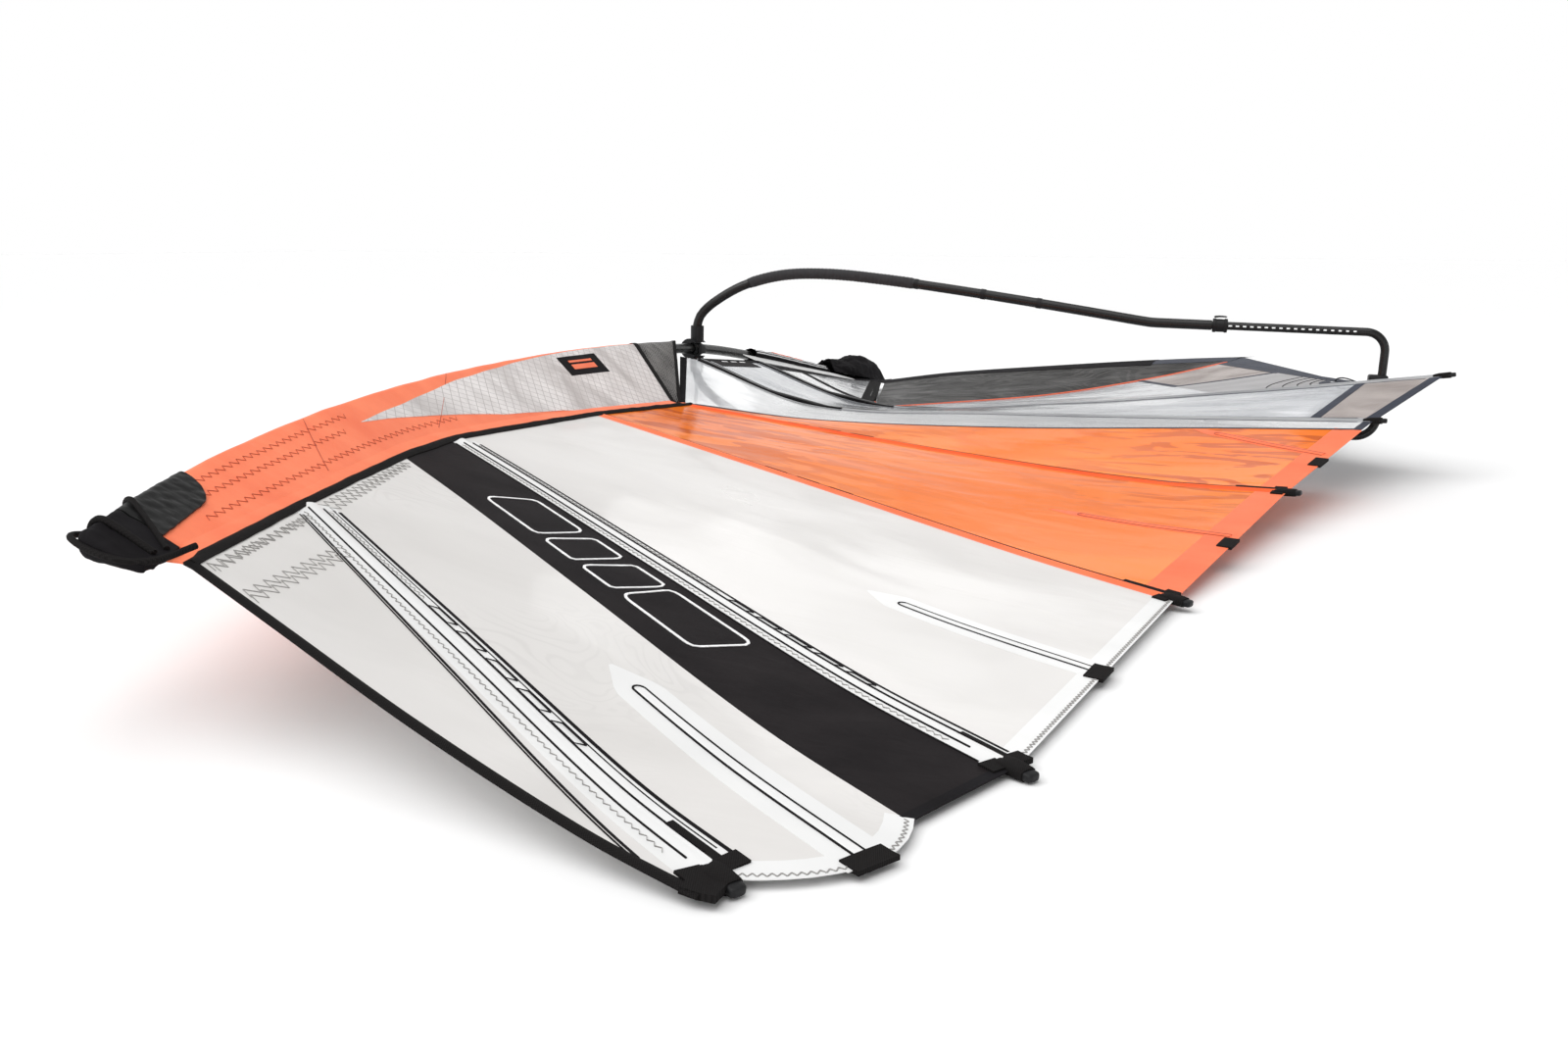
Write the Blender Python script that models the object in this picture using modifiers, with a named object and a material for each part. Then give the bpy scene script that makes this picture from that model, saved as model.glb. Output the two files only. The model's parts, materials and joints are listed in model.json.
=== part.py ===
"""Rigged windsurf sail lying on the ground: mast, sail with battens, wishbone boom and mast foot.

Metres, +Z up. The sail's foot is at the origin, the mast runs along -Y to the head, and the
boom runs along +X to the clew. Heights below are above the ground; the frame empty then moves
everything down, so that the centre of the mast foot's end face is the origin.
"""
import math

import bmesh
import bpy
from mathutils import Matrix, Vector

# ---------------------------------------------------------------- driving dimensions
LUFF_LENGTH = 4.23
MAST_R = 0.0165
MAST_TIP_R = 0.0100
MAST_WALL = 0.0025
MAST_JOINT_Y = -2.02
SPIGOT_LENGTH = 0.12
MAST_SLOPE = 0.20
MAST_STRAIGHT = 0.5
MAST_BEND_START = 1.5
MAST_BEND = 0.0285
FOOT_BEND = 0.025

FOOT_HALF_WIDTH = 0.042
FOOT_HALF_HEIGHT = 0.026
FOOT_LENGTH = 0.088
FOOT_LIFT = FOOT_HALF_HEIGHT * math.cos(math.atan(MAST_SLOPE))
EXTENSION_R = 0.0132
EXTENSION_WALL = 0.0018
EXTENSION_START = 0.052
EXTENSION_END = 0.44
COLLAR_START = 0.110
COLLAR_END = 0.143
COLLAR_R = 0.0210
SHEAVE_R = 0.0150
SHEAVE_WIDTH = 0.0080
SHEAVE_X = 0.029
SHEAVE_AXLE_S = 0.032
AXLE_R = 0.0030

BOOM_Y = -1.50
BOOM_REACH = Vector((2.075, 0.30, -0.055))
BOOM_TUBE_R = 0.0145
BOOM_WALL = 0.0020
BOOM_CROWN = 0.2600
BOOM_REAR = 0.150
BOOM_COLLAR_A = 1.63
HEAD_INNER_R = 0.0172
HEAD_OUTER_R = 0.0320
HEAD_HALF_HEIGHT = 0.036
STRAP_GAP = 0.0008
STRAP_T = 0.0065
STRAP_HALF_ANGLE = 50
STRAP_HALF_HEIGHT = 0.024
CLAMP_LEVER = (0.008, 0.034, 0.040)
GRIP_R = 0.0165
GRIP_START = 0.19
GRIP_END = 0.72
TAIL_R = 0.0118
TAIL_WALL = 0.0016
TAIL_INNER_A = 1.462
TAIL_END_A = 2.085
TAIL_CORNER_R = 0.055
TAIL_SLOT_PITCH = 0.020
TAIL_SLOTS = 18
TAIL_SLOT = (0.011, 0.0045)
TAIL_LEVER = (0.036, 0.018, 0.007)
ROLLER_R = 0.0090

PANEL_T = 0.0020
TAPE_T = 0.0030
SEAM_GAP = 0.0130
LEECH_MARGIN = 0.0120
FILM_ROACH = 0.060
TAPE_WIDTH = 0.030
SLEEVE_R = 0.0230
SLEEVE_TIP_R = 0.0170
SLEEVE_TOP = -4.130
SLEEVE_T = 0.0015
BATTEN_R = 0.0045
TENSIONER = (0.032, 0.022, 0.012)
TENSIONER_OVERLAP = 0.0015

TUBE_SIDES = 12

# ---------------------------------------------------------------- shape of the rig
# Height of the mast's axis above the ground, against the distance from the foot.
MAST_HEIGHTS = (
    (MAST_STRAIGHT, FOOT_LIFT + MAST_SLOPE * MAST_STRAIGHT),
    (1.05, 0.226),
    (1.5, 0.288),
    (2.1, 0.315),
    (2.7, 0.316),
    (3.3, 0.301),
    (LUFF_LENGTH, 0.262),
)
# Back edge of the luff sleeve: distance from the foot, then x and height.
SLEEVE_BACK_X = ((1.60, 0.200), (1.96, 0.200), (2.47, 0.205), (3.12, 0.265), (3.37, 0.330),
                 (3.79, 0.490), (4.19, 0.650), (4.40, 0.740))
SLEEVE_BACK_Z = ((1.60, 0.170), (1.96, 0.172), (2.47, 0.203), (3.12, 0.235), (3.79, 0.238),
                 (4.40, 0.240))

# Seams run from the luff to the leech: front (x, y), back (x, y), and the heights at the
# chord stations. The full battens lie in the numbered seams.
CHORD_STATIONS = (0.0, 0.2, 0.5, 0.8, 1.0)
SEAMS = {
    "head": ((0.685, -4.170), (1.500, -4.310), (0.236, 0.183, 0.104, 0.040, 0.012)),
    "batten_1": ((0.520, -3.790), (1.500, -4.265), (0.234, 0.185, 0.113, 0.038, 0.0105)),
    "stripe": ((0.362, -3.370), (1.632, -4.060), (0.233, 0.188, 0.113, 0.038, 0.0095)),
    "batten_2": ((0.297, -3.120), (1.700, -3.860), (0.231, 0.184, 0.110, 0.038, 0.0095)),
    "batten_3": ((0.237, -2.470), (1.770, -3.010), (0.200, 0.163, 0.106, 0.048, 0.018)),
    "batten_4": ((0.231, -1.985), (1.900, -2.230), (0.169, 0.142, 0.104, 0.080, 0.088)),
    "window": ((0.231, -1.945), (2.040, -1.715), (0.166, 0.137, 0.138, 0.160, 0.172)),
    "batten_5": ((0.075, -1.620), (2.065, -1.620), (0.268, 0.142, 0.147, 0.168, 0.184)),
    "batten_6": ((0.080, -1.200), (2.230, -1.250), (0.225, 0.098, 0.137, 0.215, 0.275)),
    "piping": ((0.486, -1.100), (1.580, -0.500), (0.074, 0.088, 0.115, 0.172, 0.225)),
    "foot": ((0.210, -0.230), (1.620, -0.440), (0.070, 0.115, 0.165, 0.210, 0.235)),
    "foot_edge": ((0.205, -0.165), (1.660, -0.385), (0.067, 0.115, 0.166, 0.212, 0.236)),
    "tack": ((0.105, -0.300), (0.190, -0.240), (0.072, 0.071, 0.070, 0.070, 0.070)),
    "clew_line": ((2.016, -1.245), (1.580, -0.500), (0.244, 0.242, 0.236, 0.229, 0.225)),
}
TACK_SPAN = 0.2
CLEW_SPAN = 0.9
SCRIM_SPAN = 0.92

# Upper boom arm: distance along the boom, then the distance from its centre plane.
ARM_OUTLINE = ((0.004, 0.052), (0.022, 0.110), (0.080, 0.162), (0.175, 0.214), (0.300, 0.248),
               (0.450, 0.2560), (0.620, 0.2460), (0.780, 0.2300), (0.950, 0.2110), (1.120, 0.1905),
               (1.270, 0.1715), (1.380, 0.1570), (1.435, 0.1505), (1.455, BOOM_REAR))
CLEW_RING = (1.944, -1.188)
CLEW_RING_R = 0.0150
CLEW_RING_HOLE = 0.0085

COLOURS = {
    "white_film": (0.86, 0.86, 0.86, 0.35, 0.0),
    "clear_film": (0.80, 0.82, 0.84, 0.12, 0.0),
    "orange_film": (0.95, 0.33, 0.05, 0.15, 0.0),
    "orange_cloth": (0.95, 0.22, 0.11, 0.60, 0.0),
    "black_cloth": (0.02, 0.02, 0.025, 0.75, 0.0),
    "slate_cloth": (0.10, 0.11, 0.14, 0.60, 0.0),
    "scrim": (0.30, 0.29, 0.28, 0.50, 0.0),
    "carbon": (0.02, 0.02, 0.02, 0.18, 0.0),
    "batten": (0.03, 0.03, 0.03, 0.40, 0.0),
    "plastic": (0.03, 0.03, 0.03, 0.45, 0.0),
    "grip": (0.03, 0.03, 0.03, 0.90, 0.0),
    "aluminium": (0.75, 0.76, 0.78, 0.30, 1.0),
    "steel": (0.70, 0.71, 0.72, 0.25, 1.0),
    "line": (0.06, 0.06, 0.06, 0.80, 0.0),
}


# ---------------------------------------------------------------- scene helpers
def clear_scene():
    for obj in list(bpy.data.objects):
        bpy.data.objects.remove(obj, do_unlink=True)


def new_collection(name):
    collection = bpy.data.collections.new(name)
    bpy.context.scene.collection.children.link(collection)
    return collection


def make_material(name):
    red, green, blue, roughness, metallic = COLOURS[name]
    material = bpy.data.materials.new(name)
    material.use_nodes = True
    shader = material.node_tree.nodes["Principled BSDF"]
    shader.inputs["Base Color"].default_value = (red, green, blue, 1.0)
    shader.inputs["Roughness"].default_value = roughness
    shader.inputs["Metallic"].default_value = metallic
    return material


clear_scene()
PARTS = new_collection("windsurf_rig")
CUTTERS = new_collection("cutters")
MATERIALS = {name: make_material(name) for name in COLOURS}
FRAME = bpy.data.objects.new("rig_frame", None)
FRAME.location = (-2 * FOOT_BEND * MAST_STRAIGHT - FOOT_BEND, 0.0, -FOOT_LIFT)
PARTS.objects.link(FRAME)


def add_part(name, data, material, matrix=None):
    """Adds one named piece, parented to the frame."""
    obj = bpy.data.objects.new(name, data)
    PARTS.objects.link(obj)
    obj.parent = FRAME
    if matrix is not None:
        obj.matrix_local = matrix
    data.materials.append(MATERIALS[material])
    return obj


def add_cutter(name, mesh, matrix):
    """Adds a guide that only cuts, and isn't part of the rig."""
    obj = bpy.data.objects.new(name, mesh)
    CUTTERS.objects.link(obj)
    obj.parent = FRAME
    obj.matrix_local = matrix
    obj.hide_render = True
    obj.display_type = "WIRE"
    return obj


def boolean(obj, other, operation="DIFFERENCE"):
    modifier = obj.modifiers.new(operation.lower(), "BOOLEAN")
    modifier.object = other
    modifier.operation = operation
    modifier.solver = "EXACT"


def finish_mesh(name, bm, smooth_angle=35):
    bmesh.ops.recalc_face_normals(bm, faces=bm.faces)
    mesh = bpy.data.meshes.new(name)
    bm.to_mesh(mesh)
    bm.free()
    mesh.shade_smooth()
    mesh.set_sharp_from_angle(angle=math.radians(smooth_angle))
    return mesh


def box_mesh(name, size):
    bm = bmesh.new()
    bmesh.ops.create_cube(bm, size=1.0, matrix=Matrix.Diagonal((*size, 1.0)))
    return finish_mesh(name, bm)


def cylinder_mesh(name, radius, length, sides=TUBE_SIDES):
    """A cylinder along its own Z axis."""
    bm = bmesh.new()
    bmesh.ops.create_cone(bm, cap_ends=True, segments=sides, radius1=radius, radius2=radius,
                          depth=length)
    return finish_mesh(name, bm)


# ---------------------------------------------------------------- curves through points
def smooth(table, t):
    """Cubic curve through the (position, value) pairs, straight beyond both ends."""
    last = len(table) - 1
    slopes = []
    for i in range(last + 1):
        low = table[max(i - 1, 0)]
        high = table[min(i + 1, last)]
        slopes.append((high[1] - low[1]) / (high[0] - low[0]))
    if t <= table[0][0]:
        return table[0][1] + slopes[0] * (t - table[0][0])
    if t >= table[last][0]:
        return table[last][1] + slopes[last] * (t - table[last][0])
    i = max(k for k in range(last) if table[k][0] <= t)
    span = table[i + 1][0] - table[i][0]
    f = (t - table[i][0]) / span
    start = (2 * f ** 3 - 3 * f ** 2 + 1) * table[i][1] + (f ** 3 - 2 * f ** 2 + f) * span * slopes[i]
    end = (3 * f ** 2 - 2 * f ** 3) * table[i + 1][1] + (f ** 3 - f ** 2) * span * slopes[i + 1]
    return start + end


def mast_offset(reach):
    """How far the mast bends aft at a distance from the foot; it is straight inside the foot."""
    if reach > MAST_BEND_START:
        return MAST_BEND * (reach - MAST_BEND_START) ** 3
    curved = MAST_BEND_START - max(reach, MAST_STRAIGHT)
    return FOOT_BEND * (curved ** 2 + 2.0 * max(MAST_STRAIGHT - reach, 0.0))


def mast_point(y):
    """Centre of the mast at a y."""
    reach = -y
    if reach <= MAST_STRAIGHT:
        return Vector((mast_offset(reach), y, FOOT_LIFT + MAST_SLOPE * reach))
    return Vector((mast_offset(reach), y, smooth(MAST_HEIGHTS, reach)))


def sleeve_back(y):
    return Vector((smooth(SLEEVE_BACK_X, -y), y, smooth(SLEEVE_BACK_Z, -y)))


def seam_point(name, u):
    """Point at a fraction of the chord along a seam."""
    front, back, heights = SEAMS[name]
    table = tuple(zip(CHORD_STATIONS, heights))
    x = front[0] + (back[0] - front[0]) * u
    y = front[1] + (back[1] - front[1]) * u
    return Vector((x, y, smooth(table, u)))


def mast_frame():
    """Axes at the foot: x across, y along the mast towards the head, z up from the mast."""
    along = (mast_point(-MAST_STRAIGHT) - mast_point(0.0)).normalized()
    across = Vector((0.0, 0.0, 1.0)).cross(-along).normalized()
    up = across.cross(along)
    matrix = Matrix((across, along, up)).transposed().to_4x4()
    matrix.translation = mast_point(0.0)
    return matrix


def boom_frame():
    """Axes at the mast: x along the boom, z towards the upper arm."""
    along = BOOM_REACH.normalized()
    side = Vector((0.0, 0.0, 1.0)).cross(along).normalized()
    up = along.cross(side)
    matrix = Matrix((along, side, up)).transposed().to_4x4()
    matrix.translation = mast_point(BOOM_Y)
    return matrix


FOOT_AXES = mast_frame()
BOOM_AXES = boom_frame()


def on_foot(x, s, z):
    """Point in the foot's axes: s is the distance from the end face along the mast."""
    return FOOT_AXES @ Vector((x, s, z))


def on_boom(a, side, h):
    return BOOM_AXES @ Vector((a, side, h))


# ---------------------------------------------------------------- modelling tools
def loft(name, rings, material, closed=False):
    """Skin over rings of equal point counts; closed joins the last ring to the first."""
    bm = bmesh.new()
    loops = [[bm.verts.new(point) for point in ring] for ring in rings]
    count = len(loops[0])
    pairs = list(zip(loops, loops[1:]))
    if closed:
        pairs.append((loops[-1], loops[0]))
    else:
        bm.faces.new(loops[0])
        bm.faces.new(loops[-1])
    for low, high in pairs:
        for i in range(count):
            j = (i + 1) % count
            bm.faces.new((low[i], low[j], high[j], high[i]))
    return add_part(name, finish_mesh(name, bm), material)


def ring_at(path, i, radius, sides, guide):
    """Circle round a path point, square to the path."""
    before = path[max(i - 1, 0)]
    after = path[min(i + 1, len(path) - 1)]
    along = (after - before).normalized()
    across = along.cross(guide).normalized()
    up = across.cross(along)
    turns = [2 * math.pi * (k + 0.5) / sides for k in range(sides)]
    return [path[i] + across * radius * math.cos(t) + up * radius * math.sin(t) for t in turns]


def tube(name, path, outer, inner, material, guide, sides=TUBE_SIDES):
    """Open-ended tube along a path; a radius is one number, or a list with one for each point."""
    count = len(path)
    outer = outer if isinstance(outer, list) else [outer] * count
    inner = inner if isinstance(inner, list) else [inner] * count
    outside = [ring_at(path, i, outer[i], sides, guide) for i in range(count)]
    inside = [ring_at(path, i, inner[i], sides, guide) for i in range(count)]
    return loft(name, outside + inside[::-1], material, closed=True)


def sheet(name, point, material, divisions, thickness):
    """Slab over point(u, v), for u and v from 0 to 1."""
    across, down = divisions
    bm = bmesh.new()
    bmesh.ops.create_grid(bm, x_segments=across, y_segments=down, size=0.5)
    for vert in bm.verts:
        vert.co = point(vert.co.x + 0.5, vert.co.y + 0.5)
    obj = add_part(name, finish_mesh(name, bm), material)
    solidify = obj.modifiers.new("thickness", "SOLIDIFY")
    solidify.thickness = thickness
    solidify.offset = 0.0
    return obj


def cord(name, points, radius, material, resolution=1):
    """Round rod or line through points."""
    curve = bpy.data.curves.new(name, "CURVE")
    curve.dimensions = "3D"
    curve.bevel_depth = radius
    curve.bevel_resolution = resolution
    curve.use_fill_caps = True
    spline = curve.splines.new("POLY")
    spline.points.add(len(points) - 1)
    for spline_point, place in zip(spline.points, points):
        spline_point.co = (*place, 1.0)
    return add_part(name, curve, material)


def block(name, size, matrix, material, bevel=0.0015):
    obj = add_part(name, box_mesh(name, size), material, matrix)
    if bevel:
        rounding = obj.modifiers.new("rounding", "BEVEL")
        rounding.width = bevel
        rounding.segments = 1
    return obj


def placed(axes, place, turn=None):
    """Matrix of a piece at a place in some axes, turned if a turn is given."""
    matrix = axes @ Matrix.Translation(Vector(place))
    return matrix @ turn if turn is not None else matrix


def set_origin(obj, offset):
    """Moves a piece's origin within its own axes, so that it lies on its joint's axis."""
    obj.data.transform(Matrix.Translation(-Vector(offset)))
    obj.matrix_basis = obj.matrix_basis @ Matrix.Translation(Vector(offset))


def cylinder_along(axis):
    """Turn that lays a Z cylinder along X or Y."""
    if axis == "X":
        return Matrix.Rotation(math.radians(90), 4, "Y")
    return Matrix.Rotation(math.radians(-90), 4, "X")


# ---------------------------------------------------------------- mast
def mast_radius(y):
    taper = max(-y - 1.2, 0.0) / (LUFF_LENGTH - 1.2)
    return MAST_R + (MAST_TIP_R - MAST_R) * taper


def mast_section(start_y, end_y, steps):
    """Path, outer radii and inner radii of a stretch of the mast."""
    ys = [start_y + (end_y - start_y) * i / steps for i in range(steps + 1)]
    outer = [mast_radius(y) for y in ys]
    return [mast_point(y) for y in ys], outer, [radius - MAST_WALL for radius in outer]


def make_mast():
    """The lower half is open for the extension, and the upper half has a spigot that plugs in."""
    guide = Vector((1.0, 0.0, 0.0))
    bottom_start = on_foot(0.0, COLLAR_END + 0.001, 0.0).y
    path, outer, inner = mast_section(bottom_start, MAST_JOINT_Y + 0.0005, 10)
    tube("mast_bottom", path, outer, inner, "carbon", guide)
    path, outer, inner = mast_section(MAST_JOINT_Y - 0.0005, -LUFF_LENGTH + 0.02, 12)
    spigot_r = mast_radius(MAST_JOINT_Y) - MAST_WALL - 0.0009
    spigot_wall = 0.0030
    shoulder = 0.0060
    spigot = [mast_point(MAST_JOINT_Y + offset) for offset in (SPIGOT_LENGTH, SPIGOT_LENGTH / 2, 0.0)]
    step = path[0].lerp(path[1], shoulder / (path[1] - path[0]).length)
    path = spigot + [path[0], step] + path[1:]
    outer = [spigot_r] * 3 + [outer[0], outer[0]] + outer[1:]
    inner = [spigot_r - spigot_wall] * 4 + [inner[0]] + inner[1:]
    tube("mast_top", path, outer, inner, "carbon", guide)


def make_extension():
    path = [on_foot(0.0, s, 0.0) for s in (EXTENSION_START, 0.2, 0.3, EXTENSION_END)]
    guide = Vector((1.0, 0.0, 0.0))
    tube("mast_extension", path, EXTENSION_R, EXTENSION_R - EXTENSION_WALL, "aluminium", guide)
    collar = [on_foot(0.0, s, 0.0) for s in (COLLAR_START, COLLAR_END)]
    tube("extension_collar", collar, COLLAR_R, EXTENSION_R + 0.0009, "plastic", guide, sides=16)


def make_mast_foot():
    middle = FOOT_LENGTH / 2
    size = (2 * FOOT_HALF_WIDTH, FOOT_LENGTH, 2 * FOOT_HALF_HEIGHT)
    foot = block("mast_foot", size, placed(FOOT_AXES, (0.0, middle, 0.0)), "plastic", bevel=0)
    socket = cylinder_mesh("socket_cut", EXTENSION_R + 0.0005, 0.06, 16)
    socket_place = placed(FOOT_AXES, (0.0, EXTENSION_START - 0.0005 + 0.03, 0.0), cylinder_along("Y"))
    boolean(foot, add_cutter("socket_cut", socket, socket_place))
    for side, name in ((-1, "left"), (1, "right")):
        slot = box_mesh("slot_cut_" + name, (SHEAVE_WIDTH + 0.0016, 0.12, 2 * FOOT_HALF_HEIGHT + 0.02))
        slot_place = (side * SHEAVE_X, SHEAVE_AXLE_S - SHEAVE_R - 0.003 + 0.06, 0.0)
        boolean(foot, add_cutter("slot_cut_" + name, slot, placed(FOOT_AXES, slot_place)))
    turn = cylinder_along("X")
    axle_place = placed(FOOT_AXES, (0.0, SHEAVE_AXLE_S, 0.0), turn)
    hole = cylinder_mesh("axle_cut", AXLE_R + 0.0004, 4 * FOOT_HALF_WIDTH)
    boolean(foot, add_cutter("axle_cut", hole, axle_place))
    pin = cylinder_mesh("sheave_axle", AXLE_R, 2 * FOOT_HALF_WIDTH - 0.002)
    add_part("sheave_axle", pin, "steel", axle_place)
    for side, name in ((-1, "left"), (1, "right")):
        place = placed(FOOT_AXES, (side * SHEAVE_X, SHEAVE_AXLE_S, 0.0), turn)
        spool("downhaul_sheave_" + name, SHEAVE_R, SHEAVE_WIDTH, AXLE_R + 0.0004, place)


def spool(name, radius, width, bore, matrix):
    """Grooved wheel turned round its own Z axis by a Screw modifier."""
    half = width / 2
    groove = radius - 0.0035
    profile = ((bore, half), (radius, half), (groove, 0.0), (radius, -half), (bore, -half))
    mesh = bpy.data.meshes.new(name)
    edges = [(i, (i + 1) % len(profile)) for i in range(len(profile))]
    mesh.from_pydata([(r, 0.0, z) for r, z in profile], edges, [])
    obj = add_part(name, mesh, "plastic", matrix)
    screw = obj.modifiers.new("turn", "SCREW")
    screw.steps = 16
    screw.render_steps = 16
    screw.use_merge_vertices = True
    screw.merge_threshold = 0.0001
    screw.use_smooth_shade = True
    return obj


def make_tack_gear():
    """Pulley block on the sail's tack, the downhaul line and the padded cover over them."""
    block_s = 0.235
    lift = MAST_R + 0.009
    block("tack_pulley", (0.076, 0.042, 0.011), placed(FOOT_AXES, (0.0, block_s, lift)), "plastic")
    reach = SHEAVE_AXLE_S + SHEAVE_R + 0.004
    one_side = ((SHEAVE_X, reach, 0.013), (SHEAVE_X, reach + 0.04, 0.019), (SHEAVE_X, block_s - 0.03, lift + 0.010),
                (SHEAVE_X, block_s, lift + 0.010), (0.016, block_s + 0.03, lift + 0.010))
    other_side = [(-x, s, z) for x, s, z in reversed(one_side)]
    cord("downhaul_line", [on_foot(*place) for place in (*one_side, *other_side)], 0.0022, "line")

    def cover_point(u, v):
        """Hood over the foot, higher over the foot than at the sleeve."""
        turn = math.radians(8 + 164 * u)
        rise = 0.058 + 0.034 * math.sin(math.pi * (0.25 + 0.6 * v))
        width = 0.050 + 0.016 * v
        place = on_foot(0.0, 0.43 - 0.41 * v, 0.0)
        return place + Vector((width * math.cos(turn), 0.0, rise * math.sin(turn)))

    sheet("tack_cover", cover_point, "black_cloth", (9, 5), TAPE_T)


# ---------------------------------------------------------------- luff sleeve
def sleeve_radius(y):
    return SLEEVE_R + (SLEEVE_TIP_R - SLEEVE_R) * min(max((-y - 1.9) / 2.3, 0.0), 1.0)


def sleeve_section(y_mast, y_back, wall, spare=0.0):
    """Teardrop outline round the mast, drawn back to the sleeve's back edge."""
    centre = mast_point(y_mast)
    back = sleeve_back(y_back)
    chord = Vector((back.x - centre.x, back.z - centre.z))
    length = chord.length - (0.006 if wall else 0.0)
    radius = sleeve_radius(y_mast) + spare - wall
    half = 0.0012 if wall else 0.0040 + spare / 2
    swing = math.acos((radius - half) / length)
    heading = math.atan2(chord.y, chord.x)
    outline = []
    arc_steps = 8
    for i in range(arc_steps + 1):
        turn = heading + swing + (2 * math.pi - 2 * swing) * i / arc_steps
        outline.append(Vector((math.cos(turn), math.sin(turn))) * radius)
    end = Vector((math.cos(heading), math.sin(heading))) * length
    normal = Vector((-math.sin(heading), math.cos(heading))) * half
    lower = end - normal
    upper = end + normal
    outline += [outline[-1].lerp(lower, 0.5), lower, upper, upper.lerp(outline[0], 0.5)]
    points = []
    for flat in outline:
        share = min(max(flat.x / chord.x, 0.0), 1.0)
        points.append(Vector((centre.x + flat.x, y_mast + (y_back - y_mast) * share, centre.z + flat.y)))
    return points


def sleeve(name, ends, steps, material):
    """Sleeve shell between two slanted ends, each given by its y at the mast and at the back."""
    (start_mast, start_back), (end_mast, end_back) = ends
    outside = []
    inside = []
    for i in range(steps + 1):
        f = i / steps
        y_mast = start_mast + (end_mast - start_mast) * f
        y_back = start_back + (end_back - start_back) * f
        outside.append(sleeve_section(y_mast, y_back, 0.0))
        inside.append(sleeve_section(y_mast, y_back, SLEEVE_T))
    return loft(name, outside + inside[::-1], material, closed=True)


def make_sleeves():
    sleeve("luff_sleeve", ((-1.890, -2.012), (SLEEVE_TOP, SLEEVE_TOP)), 14, "orange_cloth")
    sleeve("sleeve_cutout_edge", ((-1.630, -1.972), (-1.886, -2.008)), 3, "slate_cloth")
    make_lower_sleeve()
    make_head_cap()
    make_luff_tape()


def make_lower_sleeve():
    """Narrow sleeve between the boom cut-out and the tack."""
    outside = []
    inside = []
    for i in range(5):
        y = -1.10 + 0.63 * i / 4
        centre = mast_point(y)
        for wall, rings in ((0.0, outside), (SLEEVE_T, inside)):
            radius = SLEEVE_R - wall
            turns = [2 * math.pi * k / 12 for k in range(12)]
            rings.append([centre + Vector((radius * (1.0 + 0.5 * max(math.cos(t), 0.0)) * math.cos(t),
                                           0.0, radius * math.sin(t))) for t in turns])
    loft("lower_sleeve", outside + inside[::-1], "black_cloth", closed=True)


def make_head_cap():
    """Padded cup over the mast's tip, open towards the sleeve."""
    rim = SLEEVE_TOP - 0.004
    floor = -LUFF_LENGTH + 0.008
    stations = (rim, (rim + floor) / 2, floor)
    outside = [sleeve_section(y, y, 0.0, 0.003) for y in stations]
    inside = [sleeve_section(y, y, SLEEVE_T, 0.003) for y in stations]
    middle = sum(outside[-1], Vector()) / len(outside[-1])
    for share, reach in ((0.92, 0.016), (0.60, 0.034)):
        outside.append([middle + (point - middle) * share - Vector((0.0, reach, 0.0))
                        for point in outside[2]])
    loft("head_cap", outside[::-1] + inside, "black_cloth")


def make_luff_tape():
    """Tape between the sleeve's back edge and the sail's panels."""
    def tape_point(u, v):
        y = -1.995 + (SLEEVE_TOP + 1.995) * u
        edge = sleeve_back(y)
        return edge + Vector((0.003 + (TAPE_WIDTH - 0.008) * v, 0.0, 0.0))

    sheet("luff_tape", tape_point, "black_cloth", (16, 1), TAPE_T)


# ---------------------------------------------------------------- sail panels
def ruled(first, second, first_span=(0.0, 1.0), second_span=(0.0, 1.0), strip=(0.0, 1.0), roach=0.0):
    """Surface between stretches of two seams, held back from its edges by half the seam gap."""
    def corner(u, v):
        a = seam_point(first, first_span[0] + (first_span[1] - first_span[0]) * u)
        b = seam_point(second, second_span[0] + (second_span[1] - second_span[0]) * u)
        bulge = Vector((roach, -roach / 3, 0.0)) * 4.0 * v * (1.0 - v) * u ** 4
        return a.lerp(b, v) + bulge

    at_leech = max(first_span[1], second_span[1]) >= 1.0

    def point(u, v):
        low, high = strip
        length = (corner(0.0, v) - corner(1.0, v)).length
        start = SEAM_GAP / 2 / length
        end = 1.0 - (LEECH_MARGIN if at_leech else SEAM_GAP / 2) / length
        u = start + (end - start) * u
        inset = SEAM_GAP / 2 / (corner(u, low) - corner(u, high)).length * (high - low)
        return corner(u, low + inset + (high - low - 2.0 * inset) * v)

    return point


def make_panels():
    long_panels = (
        ("head_panel", "head", "batten_1", "white_film"),
        ("stripe_panel", "stripe", "batten_2", "black_cloth"),
        ("middle_film_panel", "batten_2", "batten_3", "white_film"),
        ("orange_panel_upper", "batten_3", "batten_4", "orange_film"),
        ("orange_panel_lower", "batten_4", "window", "orange_film"),
        ("front_window_panel", "window", "batten_5", "clear_film"),
    )
    for name, first, second, material in long_panels:
        sheet(name, ruled(first, second), material, (9, 2), PANEL_T)
    roach = ruled("batten_1", "stripe", roach=FILM_ROACH)
    sheet("upper_film_panel", roach, "white_film", (9, 4), PANEL_T)
    window = ruled("batten_5", "batten_6", (0.0, SCRIM_SPAN), (0.0, CLEW_SPAN))
    sheet("window_panel", window, "clear_film", (10, 2), PANEL_T)
    scrim = ruled("batten_5", "batten_6", (SCRIM_SPAN, 1.0), (CLEW_SPAN, 1.0))
    sheet("leech_scrim_panel", scrim, "scrim", (2, 2), PANEL_T)
    make_lower_panels()


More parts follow.
